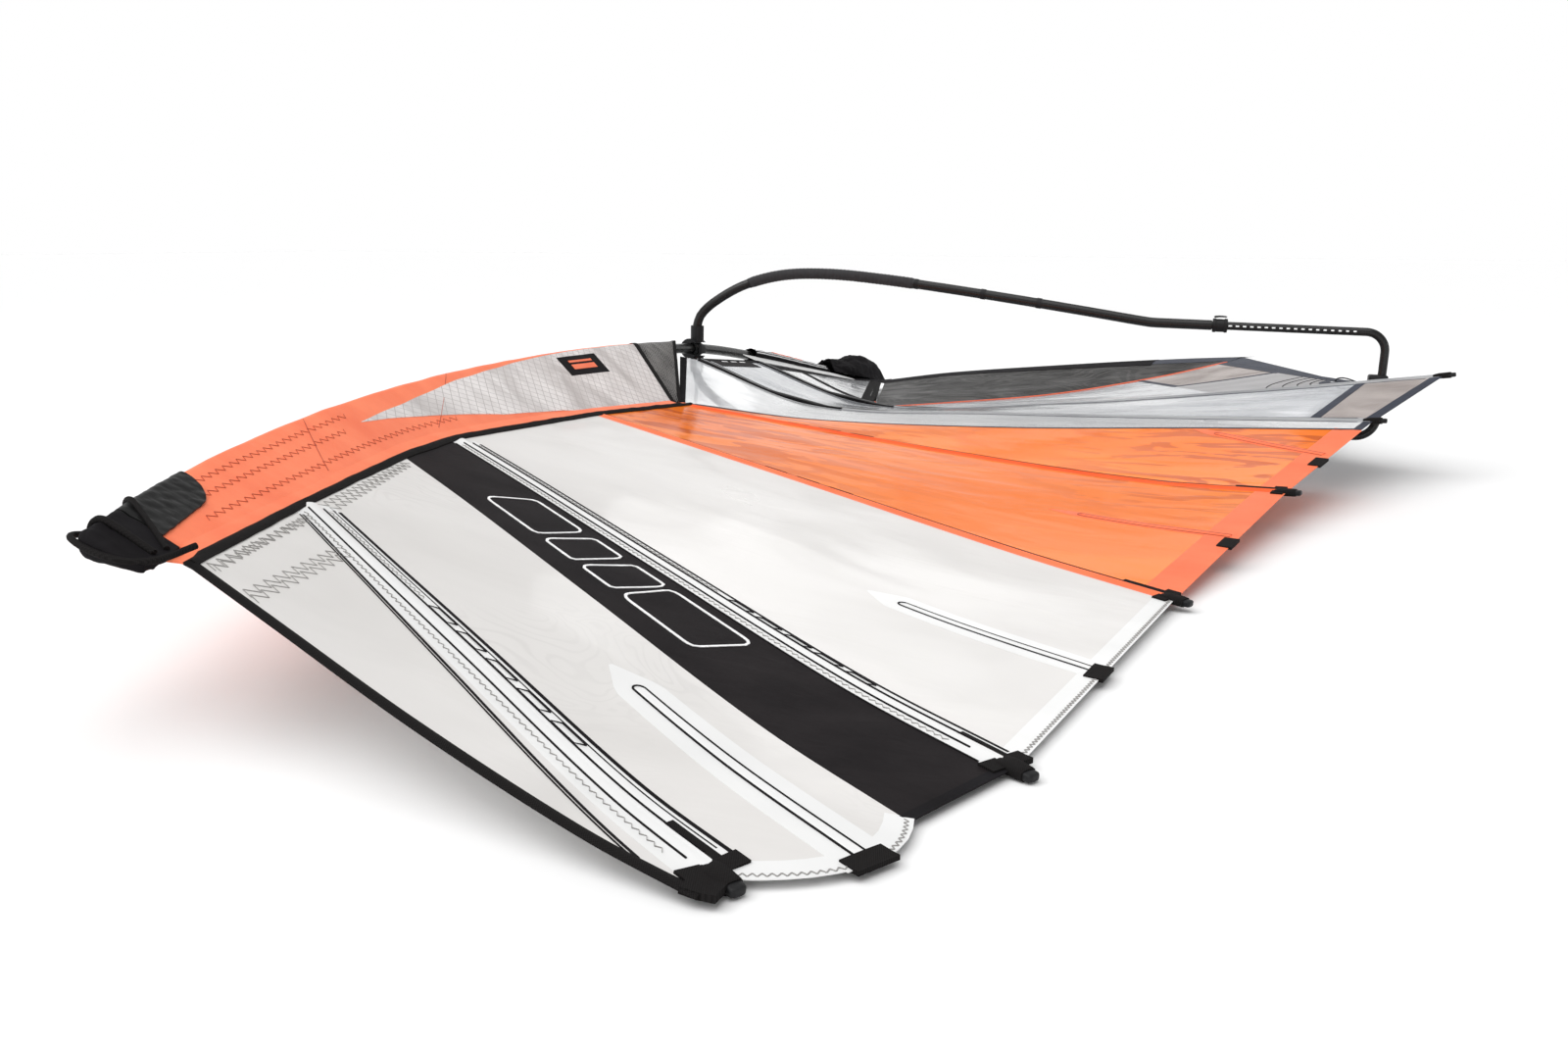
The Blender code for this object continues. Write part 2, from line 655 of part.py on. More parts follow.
def make_lower_panels():
    """Everything below the lowest batten."""
    tack = ruled("batten_6", "tack", (0.0, TACK_SPAN))
    sheet("tack_panel", tack, "clear_film", (2, 6), PANEL_T)
    split = TACK_SPAN + (CLEW_SPAN - TACK_SPAN) * 0.74
    lower = ruled("batten_6", "piping", (TACK_SPAN, split), (0.0, 0.74))
    sheet("lower_window_panel", lower, "clear_film", (7, 3), PANEL_T)
    patch = ruled("batten_6", "piping", (split, CLEW_SPAN), (0.74, 1.0), strip=(0.0, 0.5))
    clew = sheet("clew_patch", patch, "slate_cloth", (4, 3), PANEL_T)
    mesh = ruled("batten_6", "piping", (split, CLEW_SPAN), (0.74, 1.0), strip=(0.5, 1.0))
    sheet("foot_mesh_panel", mesh, "scrim", (3, 2), PANEL_T)
    sheet("foot_scrim_panel", ruled("piping", "foot"), "black_cloth", (8, 3), PANEL_T)
    sheet("foot_band", ruled("foot", "foot_edge"), "black_cloth", (8, 1), TAPE_T)
    make_clew_ring(clew)


def clew_ring_place():
    """Point of the ring's centre on the clew patch."""
    height = seam_point("clew_line", 0.1).z
    return Vector((CLEW_RING[0], CLEW_RING[1], height - 0.0085))


def make_clew_ring(clew):
    place = Matrix.Translation(clew_ring_place())
    hole = cylinder_mesh("clew_cut", CLEW_RING_R + 0.0006, 0.08, 16)
    boolean(clew, add_cutter("clew_cut", hole, place))
    half = 0.003
    profile = ((CLEW_RING_HOLE, half), (CLEW_RING_R, half), (CLEW_RING_R, -half), (CLEW_RING_HOLE, -half))
    mesh = bpy.data.meshes.new("clew_ring")
    mesh.from_pydata([(r, 0.0, z) for r, z in profile], [(0, 1), (1, 2), (2, 3), (3, 0)], [])
    ring = add_part("clew_ring", mesh, "steel", place)
    screw = ring.modifiers.new("turn", "SCREW")
    screw.steps = 16
    screw.render_steps = 16
    screw.use_merge_vertices = True
    screw.merge_threshold = 0.0001


# ---------------------------------------------------------------- battens
def make_battens():
    for number in range(1, 7):
        name = "batten_%d" % number
        front = 0.035 if number < 5 else 0.012
        steps = 9
        spans = [front + (0.993 - front) * i / steps for i in range(steps + 1)]
        cord(name, [seam_point(name, u) for u in spans], BATTEN_R, "batten")
        make_batten_end(name)


def make_batten_end(name):
    """Tensioner housing at the leech end of a full batten."""
    tip = seam_point(name, 1.0)
    along = (tip - seam_point(name, 0.95)).normalized()
    side = Vector((0.0, 0.0, 1.0)).cross(along).normalized()
    matrix = Matrix((along, side, along.cross(side))).transposed().to_4x4()
    matrix.translation = tip + along * (TENSIONER[0] / 2 - TENSIONER_OVERLAP)
    block(name + "_tensioner", TENSIONER, matrix, "plastic", bevel=0.002)


# ---------------------------------------------------------------- boom
def arm_path(steps=24):
    """Centre line of the upper arm in the boom's axes, as (a, h) pairs."""
    knots = []
    travel = 0.0
    for i, point in enumerate(ARM_OUTLINE):
        if i:
            travel += math.dist(point, ARM_OUTLINE[i - 1])
        knots.append(travel)
    along = tuple(zip(knots, (point[0] for point in ARM_OUTLINE)))
    out = tuple(zip(knots, (point[1] for point in ARM_OUTLINE)))
    path = [(smooth(along, travel * i / steps), smooth(out, travel * i / steps)) for i in range(steps)]
    path.append(ARM_OUTLINE[-1])
    path.append((BOOM_COLLAR_A - 0.022, BOOM_REAR))
    return path


def make_arms():
    side = BOOM_AXES.to_3x3() @ Vector((0.0, 1.0, 0.0))
    for sign, name in ((1, "upper"), (-1, "lower")):
        path = [on_boom(a, 0.0, sign * h) for a, h in arm_path()]
        tube("boom_arm_" + name, path, BOOM_TUBE_R, BOOM_TUBE_R - BOOM_WALL, "carbon", side)
        grip = [on_boom(a, 0.0, sign * h) for a, h in arm_path() if GRIP_START < a < GRIP_END]
        tube("boom_grip_" + name, grip, GRIP_R, BOOM_TUBE_R + 0.0004, "grip", side)


def make_boom_head():
    """Jaw that holds the mast, with a socket for each arm, open towards the sail."""
    mast_along = (mast_point(BOOM_Y - 0.1) - mast_point(BOOM_Y + 0.1)).normalized()
    across = BOOM_AXES.to_3x3() @ Vector((1.0, 0.0, 0.0))
    up = mast_along.cross(across).normalized()
    across = up.cross(mast_along)
    axes = Matrix((across, up, mast_along)).transposed().to_4x4()
    axes.translation = mast_point(BOOM_Y)
    head = add_part("boom_head", cylinder_mesh("boom_head", HEAD_OUTER_R, 2 * HEAD_HALF_HEIGHT, 24),
                    "plastic", axes)
    socket = cylinder_mesh("head_sockets", 0.0215, 0.150, 16)
    socket_place = placed(BOOM_AXES, (0.010, 0.0, 0.0))
    boolean(head, add_cutter("head_sockets", socket, socket_place), "UNION")
    throat = cylinder_mesh("throat_cut", HEAD_INNER_R, 0.2, 24)
    boolean(head, add_cutter("throat_cut", throat, axes))
    gap = box_mesh("mouth_cut", (0.08, 0.043, 0.2))
    boolean(head, add_cutter("mouth_cut", gap, placed(axes, (0.046, 0.0, 0.0))))
    for sign, name in ((1, "upper_socket_cut"), (-1, "lower_socket_cut")):
        first = Vector((ARM_OUTLINE[0][0], 0.0, sign * ARM_OUTLINE[0][1]))
        second = Vector((ARM_OUTLINE[1][0], 0.0, sign * ARM_OUTLINE[1][1]))
        lean = (second - first).normalized()
        turn = lean.to_track_quat("Z", "X").to_matrix().to_4x4()
        bore = cylinder_mesh(name, BOOM_TUBE_R + 0.0012, 0.12, 16)
        boolean(head, add_cutter(name, bore, placed(BOOM_AXES, first + lean * 0.058, turn)))
    make_clamp(axes)


def make_clamp(axes):
    """Back plate of the jaw, hinged at its lower edge, and the cam lever that pulls it tight."""
    bm = bmesh.new()
    inner = HEAD_INNER_R + STRAP_GAP
    outline = []
    steps = 8
    for radius, direction in ((inner + STRAP_T, 1), (inner, -1)):
        for i in range(steps + 1):
            turn = math.radians(STRAP_HALF_ANGLE * (2 * i / steps - 1)) * direction
            outline.append((radius * math.cos(turn), radius * math.sin(turn)))
    low = [bm.verts.new((x, y, -STRAP_HALF_HEIGHT)) for x, y in outline]
    high = [bm.verts.new((x, y, STRAP_HALF_HEIGHT)) for x, y in outline]
    bm.faces.new(low)
    bm.faces.new(high)
    for i in range(len(outline)):
        j = (i + 1) % len(outline)
        bm.faces.new((low[i], low[j], high[j], high[i]))
    strap = add_part("clamp_strap", finish_mesh("clamp_strap", bm), "plastic", axes)
    set_origin(strap, (inner + STRAP_T / 2, 0.0, -STRAP_HALF_HEIGHT))
    lever_x = inner + STRAP_T + 0.002 + CLAMP_LEVER[0] / 2
    lever = block("clamp_lever", CLAMP_LEVER, placed(axes, (lever_x, 0.0, 0.0)), "plastic", bevel=0.0012)
    set_origin(lever, (0.0, 0.0, CLAMP_LEVER[2] / 2))


def tail_path():
    """Centre line of the boom's tail: two legs joined by a cross-piece with round corners."""
    corner_a = TAIL_END_A - TAIL_CORNER_R
    corner_h = BOOM_REAR - TAIL_CORNER_R
    path = [(TAIL_INNER_A, BOOM_REAR), (corner_a, BOOM_REAR)]
    for i in range(1, 6):
        turn = math.radians(90 - 18 * i)
        path.append((corner_a + TAIL_CORNER_R * math.cos(turn), corner_h + TAIL_CORNER_R * math.sin(turn)))
    return path + [(a, -h) for a, h in reversed(path)]


def make_tail():
    side = BOOM_AXES.to_3x3() @ Vector((0.0, 1.0, 0.0))
    path = [on_boom(a, 0.0, h) for a, h in tail_path()]
    tail = tube("boom_tail", path, TAIL_R, TAIL_R - TAIL_WALL, "carbon", side)
    bm = bmesh.new()
    first = BOOM_COLLAR_A + 0.030
    for sign in (1, -1):
        for i in range(TAIL_SLOTS):
            place = Matrix.Translation((first + TAIL_SLOT_PITCH * i, 0.0, sign * BOOM_REAR))
            scale = Matrix.Diagonal((TAIL_SLOT[0], 0.06, TAIL_SLOT[1], 1.0))
            bmesh.ops.create_cube(bm, size=1.0, matrix=place @ scale)
    boolean(tail, add_cutter("tail_slots_cut", finish_mesh("tail_slots_cut", bm), BOOM_AXES))
    for sign, name in ((1, "upper"), (-1, "lower")):
        make_tail_lock(sign, name)


def make_tail_lock(sign, name):
    """Collar at the end of a boom arm, with its cam lever."""
    ends = [on_boom(BOOM_COLLAR_A + offset, 0.0, sign * BOOM_REAR) for offset in (-0.020, 0.022)]
    side = BOOM_AXES.to_3x3() @ Vector((0.0, 1.0, 0.0))
    tube("tail_collar_" + name, ends, 0.0205, TAIL_R + 0.0009, "plastic", side, sides=16)
    place = placed(BOOM_AXES, (BOOM_COLLAR_A + 0.001, 0.0, sign * (BOOM_REAR + 0.0250)))
    lever = block("tail_lever_" + name, TAIL_LEVER, place, "plastic", bevel=0.0012)
    set_origin(lever, (-TAIL_LEVER[0] / 2, 0.0, 0.0))


def make_outhaul():
    """Fitting on the tail's cross-piece, its roller on a pin, and the line to the clew."""
    fitting = block("tail_fitting", (0.052, 0.040, 0.060), placed(BOOM_AXES, (TAIL_END_A - 0.010, 0.0, 0.0)),
                    "plastic", bevel=0)
    bore = cylinder_mesh("fitting_bore_cut", TAIL_R + 0.0008, 0.2, 16)
    boolean(fitting, add_cutter("fitting_bore_cut", bore, placed(BOOM_AXES, (TAIL_END_A, 0.0, 0.0))))
    roller_a = TAIL_END_A - 0.027
    slot = box_mesh("fitting_slot_cut", (0.040, 0.060, 0.0200))
    slot_place = placed(BOOM_AXES, (roller_a + 0.010 - 0.020, 0.0, 0.0))
    boolean(fitting, add_cutter("fitting_slot_cut", slot, slot_place))
    hole = cylinder_mesh("roller_pin_cut", AXLE_R + 0.0004, 0.2)
    pin_place = placed(BOOM_AXES, (roller_a, 0.0, 0.0))
    boolean(fitting, add_cutter("roller_pin_cut", hole, pin_place))
    add_part("outhaul_roller_pin", cylinder_mesh("outhaul_roller_pin", AXLE_R, 0.058), "steel", pin_place)
    spool("outhaul_roller", ROLLER_R, 0.0170, AXLE_R + 0.0004, pin_place)
    ring = clew_ring_place()
    near = BOOM_AXES.inverted() @ ring
    points = [
        on_boom(roller_a, ROLLER_R + 0.003, 0.0),
        on_boom(roller_a - 0.02, ROLLER_R + 0.003, 0.001),
        on_boom(near.x + 0.024, near.y + 0.006, near.z + 0.014),
        ring + Vector((0.0, 0.0, 0.012)),
        ring - Vector((0.0, 0.0, 0.012)),
        on_boom(near.x + 0.024, near.y - 0.006, near.z - 0.014),
        on_boom(roller_a - 0.02, -ROLLER_R - 0.003, -0.001),
        on_boom(roller_a, -ROLLER_R - 0.003, 0.0),
    ]
    cord("outhaul_line", points, 0.0020, "line")


make_mast()
make_extension()
make_mast_foot()
make_tack_gear()
make_sleeves()
make_panels()
make_battens()
make_arms()
make_boom_head()
make_tail()
make_outhaul()
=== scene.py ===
"""Looks of a rigged windsurf sail: panels, pockets, stitching, sleeve, spars and fittings.

Metres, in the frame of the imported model. Shapes are laid out from the ground up, as the model's
source is, and SHIFT moves them into that frame.
"""
import json
import math

import bpy
import numpy as np
from mathutils import Matrix, Vector, noise
from mathutils.bvhtree import BVHTree


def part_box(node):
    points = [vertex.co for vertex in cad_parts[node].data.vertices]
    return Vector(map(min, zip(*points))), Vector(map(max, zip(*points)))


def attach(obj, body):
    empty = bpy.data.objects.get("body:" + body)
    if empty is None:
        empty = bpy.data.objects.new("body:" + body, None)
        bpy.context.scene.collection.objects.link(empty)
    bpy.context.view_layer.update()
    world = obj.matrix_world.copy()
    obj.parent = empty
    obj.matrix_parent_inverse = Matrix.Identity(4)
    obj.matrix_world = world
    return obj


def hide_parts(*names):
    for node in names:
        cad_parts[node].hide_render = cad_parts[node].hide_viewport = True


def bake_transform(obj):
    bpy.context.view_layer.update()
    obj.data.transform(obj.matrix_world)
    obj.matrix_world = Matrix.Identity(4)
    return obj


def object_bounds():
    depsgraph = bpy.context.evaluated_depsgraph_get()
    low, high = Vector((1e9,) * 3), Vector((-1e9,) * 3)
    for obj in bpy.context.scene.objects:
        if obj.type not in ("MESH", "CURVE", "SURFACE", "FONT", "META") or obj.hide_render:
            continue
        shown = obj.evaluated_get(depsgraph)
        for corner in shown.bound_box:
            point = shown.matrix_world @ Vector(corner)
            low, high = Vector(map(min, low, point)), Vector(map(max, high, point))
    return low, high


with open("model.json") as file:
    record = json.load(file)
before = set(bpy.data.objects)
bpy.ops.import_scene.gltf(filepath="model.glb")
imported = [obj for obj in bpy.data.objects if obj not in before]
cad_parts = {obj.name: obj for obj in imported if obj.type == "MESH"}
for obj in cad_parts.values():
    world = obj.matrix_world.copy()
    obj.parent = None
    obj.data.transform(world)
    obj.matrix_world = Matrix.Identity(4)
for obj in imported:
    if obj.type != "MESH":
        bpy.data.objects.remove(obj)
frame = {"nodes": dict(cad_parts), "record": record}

CAD_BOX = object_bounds()

# ---------------------------------------------------------------- shape of the rig
LUFF_LENGTH = 4.23
FOOT_LIFT = 0.026 * math.cos(math.atan(0.20))
SHIFT = Vector((-0.05, 0.0, -FOOT_LIFT))
MAST_SLOPE = 0.20
MAST_STRAIGHT = 0.5
MAST_BEND_START = 1.5
MAST_BEND = 0.0285
FOOT_BEND = 0.025
MAST_R = 0.0165
MAST_TIP_R = 0.0100
MAST_JOINT_Y = -2.02
SLEEVE_R = 0.0230
SLEEVE_TIP_R = 0.0170
CLOTH_THICK = 0.0012
SLEEVE_TOP = -4.130
BOOM_Y = -1.50
BOOM_REACH = Vector((2.075, 0.30, -0.055))
BOOM_TUBE_R = 0.0145
BOOM_REAR = 0.150
BOOM_COLLAR_A = 1.63
TAIL_R = 0.0118
TAIL_END_A = 2.085
TAIL_CORNER_R = 0.055
TAIL_HOLES = 18
TAIL_HOLE_PITCH = 0.020
ROLLER_R = 0.0090
PIN_R = 0.0030
WHEEL_BORE_R = 0.0034
LEECH_MARGIN = 0.012
FILM_ROACH = 0.060
FILM_THICK = 0.0007
GRID_STEP = 0.022

MAST_HEIGHTS = ((MAST_STRAIGHT, FOOT_LIFT + MAST_SLOPE * MAST_STRAIGHT), (1.05, 0.226), (1.5, 0.288),
                (2.1, 0.315), (2.7, 0.316), (3.3, 0.301), (LUFF_LENGTH, 0.262))
SLEEVE_BACK_X = ((1.60, 0.200), (1.96, 0.200), (2.47, 0.205), (3.12, 0.265), (3.37, 0.330),
                 (3.79, 0.490), (4.19, 0.650), (4.40, 0.740))
SLEEVE_BACK_Z = ((1.60, 0.170), (1.96, 0.172), (2.47, 0.203), (3.12, 0.235), (3.79, 0.238),
                 (4.40, 0.240))
CHORD_STATIONS = (0.0, 0.2, 0.5, 0.8, 1.0)
SEAMS = {
    "head": ((0.685, -4.170), (1.500, -4.310), (0.236, 0.183, 0.104, 0.040, 0.012)),
    "batten_1": ((0.520, -3.790), (1.500, -4.265), (0.234, 0.185, 0.113, 0.038, 0.0105)),
    "stripe": ((0.362, -3.370), (1.632, -4.060), (0.233, 0.188, 0.113, 0.038, 0.0095)),
    "batten_2": ((0.297, -3.120), (1.700, -3.860), (0.231, 0.184, 0.110, 0.038, 0.0095)),
    "batten_3": ((0.237, -2.470), (1.770, -3.010), (0.200, 0.163, 0.106, 0.048, 0.018)),
    "batten_4": ((0.231, -1.985), (1.900, -2.230), (0.169, 0.142, 0.104, 0.080, 0.088)),
    "window": ((0.231, -1.945), (2.040, -1.715), (0.166, 0.137, 0.138, 0.160, 0.172)),
    "batten_5": ((0.075, -1.620), (2.065, -1.620), (0.268, 0.142, 0.147, 0.168, 0.184)),
    "batten_6": ((0.080, -1.200), (2.230, -1.250), (0.225, 0.098, 0.137, 0.215, 0.275)),
    "piping": ((0.486, -1.100), (1.580, -0.500), (0.074, 0.088, 0.115, 0.172, 0.225)),
    "foot": ((0.210, -0.230), (1.620, -0.440), (0.070, 0.115, 0.165, 0.210, 0.235)),
    "foot_edge": ((0.205, -0.165), (1.660, -0.385), (0.067, 0.115, 0.166, 0.212, 0.236)),
    "tack": ((0.105, -0.300), (0.190, -0.240), (0.072, 0.071, 0.070, 0.070, 0.070)),
}
TACK_SPAN = 0.2
CLEW_SPAN = 0.9
SCRIM_SPAN = 0.92
WINDOW_SPLIT = TACK_SPAN + (CLEW_SPAN - TACK_SPAN) * 0.74
ARM_OUTLINE = ((0.004, 0.052), (0.022, 0.110), (0.080, 0.162), (0.175, 0.214), (0.300, 0.248),
               (0.450, 0.2560), (0.620, 0.2460), (0.780, 0.2300), (0.950, 0.2110), (1.120, 0.1905),
               (1.270, 0.1715), (1.380, 0.1570), (1.435, 0.1505), (1.455, BOOM_REAR))


def smooth(table, t):
    """Cubic curve through (position, value) pairs, straight beyond both ends."""
    last = len(table) - 1
    slopes = []
    for i in range(last + 1):
        low = table[max(i - 1, 0)]
        high = table[min(i + 1, last)]
        slopes.append((high[1] - low[1]) / (high[0] - low[0]))
    if t <= table[0][0]:
        return table[0][1] + slopes[0] * (t - table[0][0])
    if t >= table[last][0]:
        return table[last][1] + slopes[last] * (t - table[last][0])
    i = max(k for k in range(last) if table[k][0] <= t)
    span = table[i + 1][0] - table[i][0]
    f = (t - table[i][0]) / span
    start = (2 * f ** 3 - 3 * f ** 2 + 1) * table[i][1] + (f ** 3 - 2 * f ** 2 + f) * span * slopes[i]
    end = (3 * f ** 2 - 2 * f ** 3) * table[i + 1][1] + (f ** 3 - f ** 2) * span * slopes[i + 1]
    return start + end


def mast_point(y):
    reach = -y
    if reach > MAST_BEND_START:
        x = MAST_BEND * (reach - MAST_BEND_START) ** 3
    else:
        curved = MAST_BEND_START - max(reach, MAST_STRAIGHT)
        x = FOOT_BEND * (curved ** 2 + 2.0 * max(MAST_STRAIGHT - reach, 0.0))
    if reach <= MAST_STRAIGHT:
        return Vector((x, y, FOOT_LIFT + MAST_SLOPE * reach)) + SHIFT
    return Vector((x, y, smooth(MAST_HEIGHTS, reach))) + SHIFT


def mast_radius(y):
    return MAST_R + (MAST_TIP_R - MAST_R) * max(-y - 1.2, 0.0) / (LUFF_LENGTH - 1.2)


def sleeve_back(y):
    return Vector((smooth(SLEEVE_BACK_X, -y), y, smooth(SLEEVE_BACK_Z, -y))) + SHIFT


def seam_point(name, u):
    front, back, heights = SEAMS[name]
    x = front[0] + (back[0] - front[0]) * u
    y = front[1] + (back[1] - front[1]) * u
    return Vector((x, y, smooth(tuple(zip(CHORD_STATIONS, heights)), u))) + SHIFT


def axes_at(along, up_hint, place):
    """Matrix with X along a direction, Z near a hint."""
    along = along.normalized()
    side = up_hint.cross(along).normalized()
    matrix = Matrix((along, side, along.cross(side))).transposed().to_4x4()
    matrix.translation = place
    return matrix


UP = Vector((0.0, 0.0, 1.0))
BOOM_AXES = axes_at(BOOM_REACH, UP, mast_point(BOOM_Y))
FOOT_ALONG = (mast_point(-MAST_STRAIGHT) - mast_point(0.0)).normalized()
FOOT_ACROSS = UP.cross(-FOOT_ALONG).normalized()
FOOT_AXES = Matrix((FOOT_ACROSS, FOOT_ALONG, FOOT_ACROSS.cross(FOOT_ALONG))).transposed().to_4x4()
FOOT_AXES.translation = mast_point(0.0)


def on_boom(a, side, h):
    return BOOM_AXES @ Vector((a, side, h))


def on_foot(x, s, z):
    return FOOT_AXES @ Vector((x, s, z))


# ---------------------------------------------------------------- materials
SOCKETS = {"alpha": "Alpha", "coat": "Coat Weight", "coat_roughness": "Coat Roughness",
           "sheen": "Sheen Weight", "metallic": "Metallic", "specular": "Specular IOR Level"}


class Look:
    """A node material: a Principled shader and the textures that feed it."""

    def __init__(self, name, colour, roughness, **sockets):
        self.mat = bpy.data.materials.new(name)
        self.mat.use_nodes = True
        self.tree = self.mat.node_tree
        self.shader = self.tree.nodes["Principled BSDF"]
        self.colour = (*colour, 1.0)
        self.shader.inputs["Base Color"].default_value = self.colour
        self.shader.inputs["Roughness"].default_value = roughness
        for key, value in sockets.items():
            self.shader.inputs[SOCKETS[key]].default_value = value
        self.coords = self.tree.nodes.new("ShaderNodeTexCoord").outputs["Object"]
        self.normal = None

    def add(self, kind, settings=(), **inputs):
        node = self.tree.nodes.new("ShaderNode" + kind)
        for key, value in settings:
            setattr(node, key, value)
        for key, value in inputs.items():
            socket = node.inputs[int(key[1:])] if key[0] == "i" and key[1:].isdigit() else node.inputs[key]
            if isinstance(value, bpy.types.NodeSocket):
                self.tree.links.new(value, socket)
            else:
                socket.default_value = value
        return node

    def mapped(self, scale=(1, 1, 1), turn=0.0):
        return self.add("Mapping", Vector=self.coords, Scale=scale, Rotation=(0, 0, turn)).outputs[0]

    def noise(self, scale, detail=3.0, stretch=(1, 1, 1), turn=0.0, distortion=0.0):
        node = self.add("TexNoise", Vector=self.mapped(stretch, turn), Scale=scale, Detail=detail,
                        Distortion=distortion)
        return node.outputs[0]

    def math(self, operation, a, b=0.0, c=0.0):
        node = self.add("Math", (("operation", operation),), i0=a, i1=b, i2=c)
        return node.outputs[0]

    def lines(self, pitch, share, turn):
        """1 on parallel lines across the floor plan, 0 between them."""
        split = self.add("SeparateXYZ", Vector=self.mapped((1.0 / pitch,) * 3, turn))
        return self.math("LESS_THAN", self.math("FRACT", split.outputs[0]), share)

    def grid(self, pitch, share, turns):
        mask = self.lines(pitch, share, turns[0])
        for turn in turns[1:]:
            mask = self.math("MAXIMUM", mask, self.lines(pitch, share, turn))
        return mask

    def weave(self, pitch):
        """Over-and-under threads, from 0 to 1."""
        split = self.add("SeparateXYZ", Vector=self.mapped((2 * math.pi / pitch,) * 3, 0.4))
        over = self.math("SINE", split.outputs[0])
        under = self.math("SINE", split.outputs[1])
        return self.math("MULTIPLY_ADD", self.math("MULTIPLY", over, under), 0.5, 0.5)

    def mix(self, share, a, b):
        node = self.tree.nodes.new("ShaderNodeMix")
        node.data_type = "RGBA"
        for socket, value in ((node.inputs[0], share), (node.inputs[6], a), (node.inputs[7], b)):
            if isinstance(value, bpy.types.NodeSocket):
                self.tree.links.new(value, socket)
            else:
                socket.default_value = value if isinstance(value, float) else (*value[:3], 1.0)
        return node.outputs[2]

    def between(self, value, low, high, out_low=0.0, out_high=1.0):
        node = self.add("MapRange", Value=value)
        for i, number in enumerate((low, high, out_low, out_high)):
            node.inputs[i + 1].default_value = number
        return node.outputs[0]

    def paint(self, colour):
        self.tree.links.new(colour, self.shader.inputs["Base Color"])

    def rough(self, value, low, high, out_low, out_high):
        self.tree.links.new(self.between(value, low, high, out_low, out_high), self.shader.inputs["Roughness"])

    def bump(self, height, distance, strength=1.0):
        node = self.add("Bump", Height=height, Distance=distance, Strength=strength)
        if self.normal is not None:
            self.tree.links.new(self.normal, node.inputs["Normal"])
        self.normal = node.outputs[0]
        self.tree.links.new(self.normal, self.shader.inputs["Normal"])


def film_look(name, colour, shade, roughness, alpha, threads=None, grain_and_painted_streaks=0.0):
    """Glossy film with soft creases; threads is (pitch, share, angles, colour) of its yarns. The last argument is the
    strength of painted reflections: darker rippled streaks that stand in for reflections in wrinkled film.
    """
    look = Look(name, colour, roughness, alpha=alpha, coat=0.3, coat_roughness=0.08, specular=0.35)
    cloudy = look.noise(2.2, 3.0, (1.0, 1.8, 1.0), 0.5, 0.8)
    base = look.mix(look.between(cloudy, 0.40, 0.72), colour, shade)
    if grain_and_painted_streaks:
        # Painted reflection: darker rippled streaks that stand in for reflections in the wrinkled film.
        ripple = look.noise(2.4, 2.0, (1.0, 2.2, 1.0), 0.55, 1.6)
        rings = look.math("SINE", look.math("MULTIPLY", ripple, 90.0))
        patchy = look.between(look.noise(1.7, 2.0), 0.45, 0.60)
        share = look.math("MULTIPLY", look.between(rings, 0.35, 0.95, 0.0, grain_and_painted_streaks), patchy)
        base = look.mix(share, base, tuple(c * 0.86 for c in shade))
    if threads:
        pitch, share, turns, tint = threads
        base = look.mix(look.grid(pitch, share, turns), base, tint)
    look.paint(base)
    look.bump(look.noise(4.0, 3.0, (1.0, 3.0, 1.0), 0.5, 0.8), 0.012, 0.25)
    look.bump(look.noise(55.0, 2.0, (1.0, 2.0, 1.0), 0.4), 0.0008, 0.15)
    look.rough(cloudy, 0.3, 0.7, roughness * 0.8, roughness * 1.4)
    return look.mat


def cloth_look(name, colour, shade, roughness, pitch=0.0016, sheen=0.05, wrinkle=0.3, specular=0.25):
    look = Look(name, colour, roughness, sheen=sheen, specular=specular)
    broad = look.noise(7.0, 4.0, (1.0, 1.8, 1.0), 0.5)
    look.paint(look.mix(look.between(broad, 0.35, 0.75), colour, shade))
    threads = look.weave(pitch)
    look.bump(look.noise(22.0, 3.0, (1.0, 2.0, 1.0), 0.5, 0.6), 0.004, wrinkle)
    look.bump(threads, 0.0002, 0.5)
    look.rough(threads, 0.0, 1.0, roughness + 0.08, roughness - 0.08)
    return look.mat


def webbing_look(name, colour, pitch=0.0032):
    look = Look(name, colour, 0.75, specular=0.05)
    ribs = look.weave(pitch)
    look.paint(look.mix(ribs, tuple(c * 0.6 for c in colour), tuple(c * 1.6 for c in colour)))
    look.bump(ribs, 0.0006, 0.8)
    look.bump(look.noise(70.0, 2.0), 0.0010, 0.4)
    return look.mat


def plastic_look(name, colour, roughness, specular=0.2):
    look = Look(name, colour, roughness, specular=specular)
    grain_and_painted_streaks = look.noise(900.0, 3.0)
    scuffs = look.noise(45.0, 5.0, (1.0, 3.0, 1.0), 0.6)
    look.paint(look.mix(look.between(scuffs, 0.50, 0.80), colour, tuple(c * 1.6 + 0.004 for c in colour)))
    look.rough(scuffs, 0.3, 0.8, roughness - 0.08, roughness + 0.2)
    look.bump(grain_and_painted_streaks, 0.0002, 0.5)
    return look.mat


def carbon_look(name, colour, roughness):
    look = Look(name, colour, roughness, coat=0.2, coat_roughness=0.06, specular=0.25)
    tows = look.grid(0.0044, 0.5, (0.785, -0.785))
    look.paint(look.mix(look.between(tows, 0.0, 1.0), colour, tuple(c * 1.5 + 0.002 for c in colour)))
    smears = look.noise(35.0, 4.0, (1.0, 2.0, 1.0))
    look.rough(smears, 0.3, 0.75, roughness, roughness + 0.22)
    look.bump(look.noise(260.0, 2.0), 0.0002, 0.3)
    return look.mat


def metal_look(name, colour, roughness):
    look = Look(name, colour, roughness, metallic=1.0)
    brushed = look.noise(260.0, 3.0, (0.1, 1.0, 1.0))
    look.paint(look.mix(brushed, tuple(c * 0.8 for c in colour), colour))
    look.rough(brushed, 0.3, 0.7, roughness - 0.06, roughness + 0.14)
    look.bump(brushed, 0.0001, 0.4)
    return look.mat


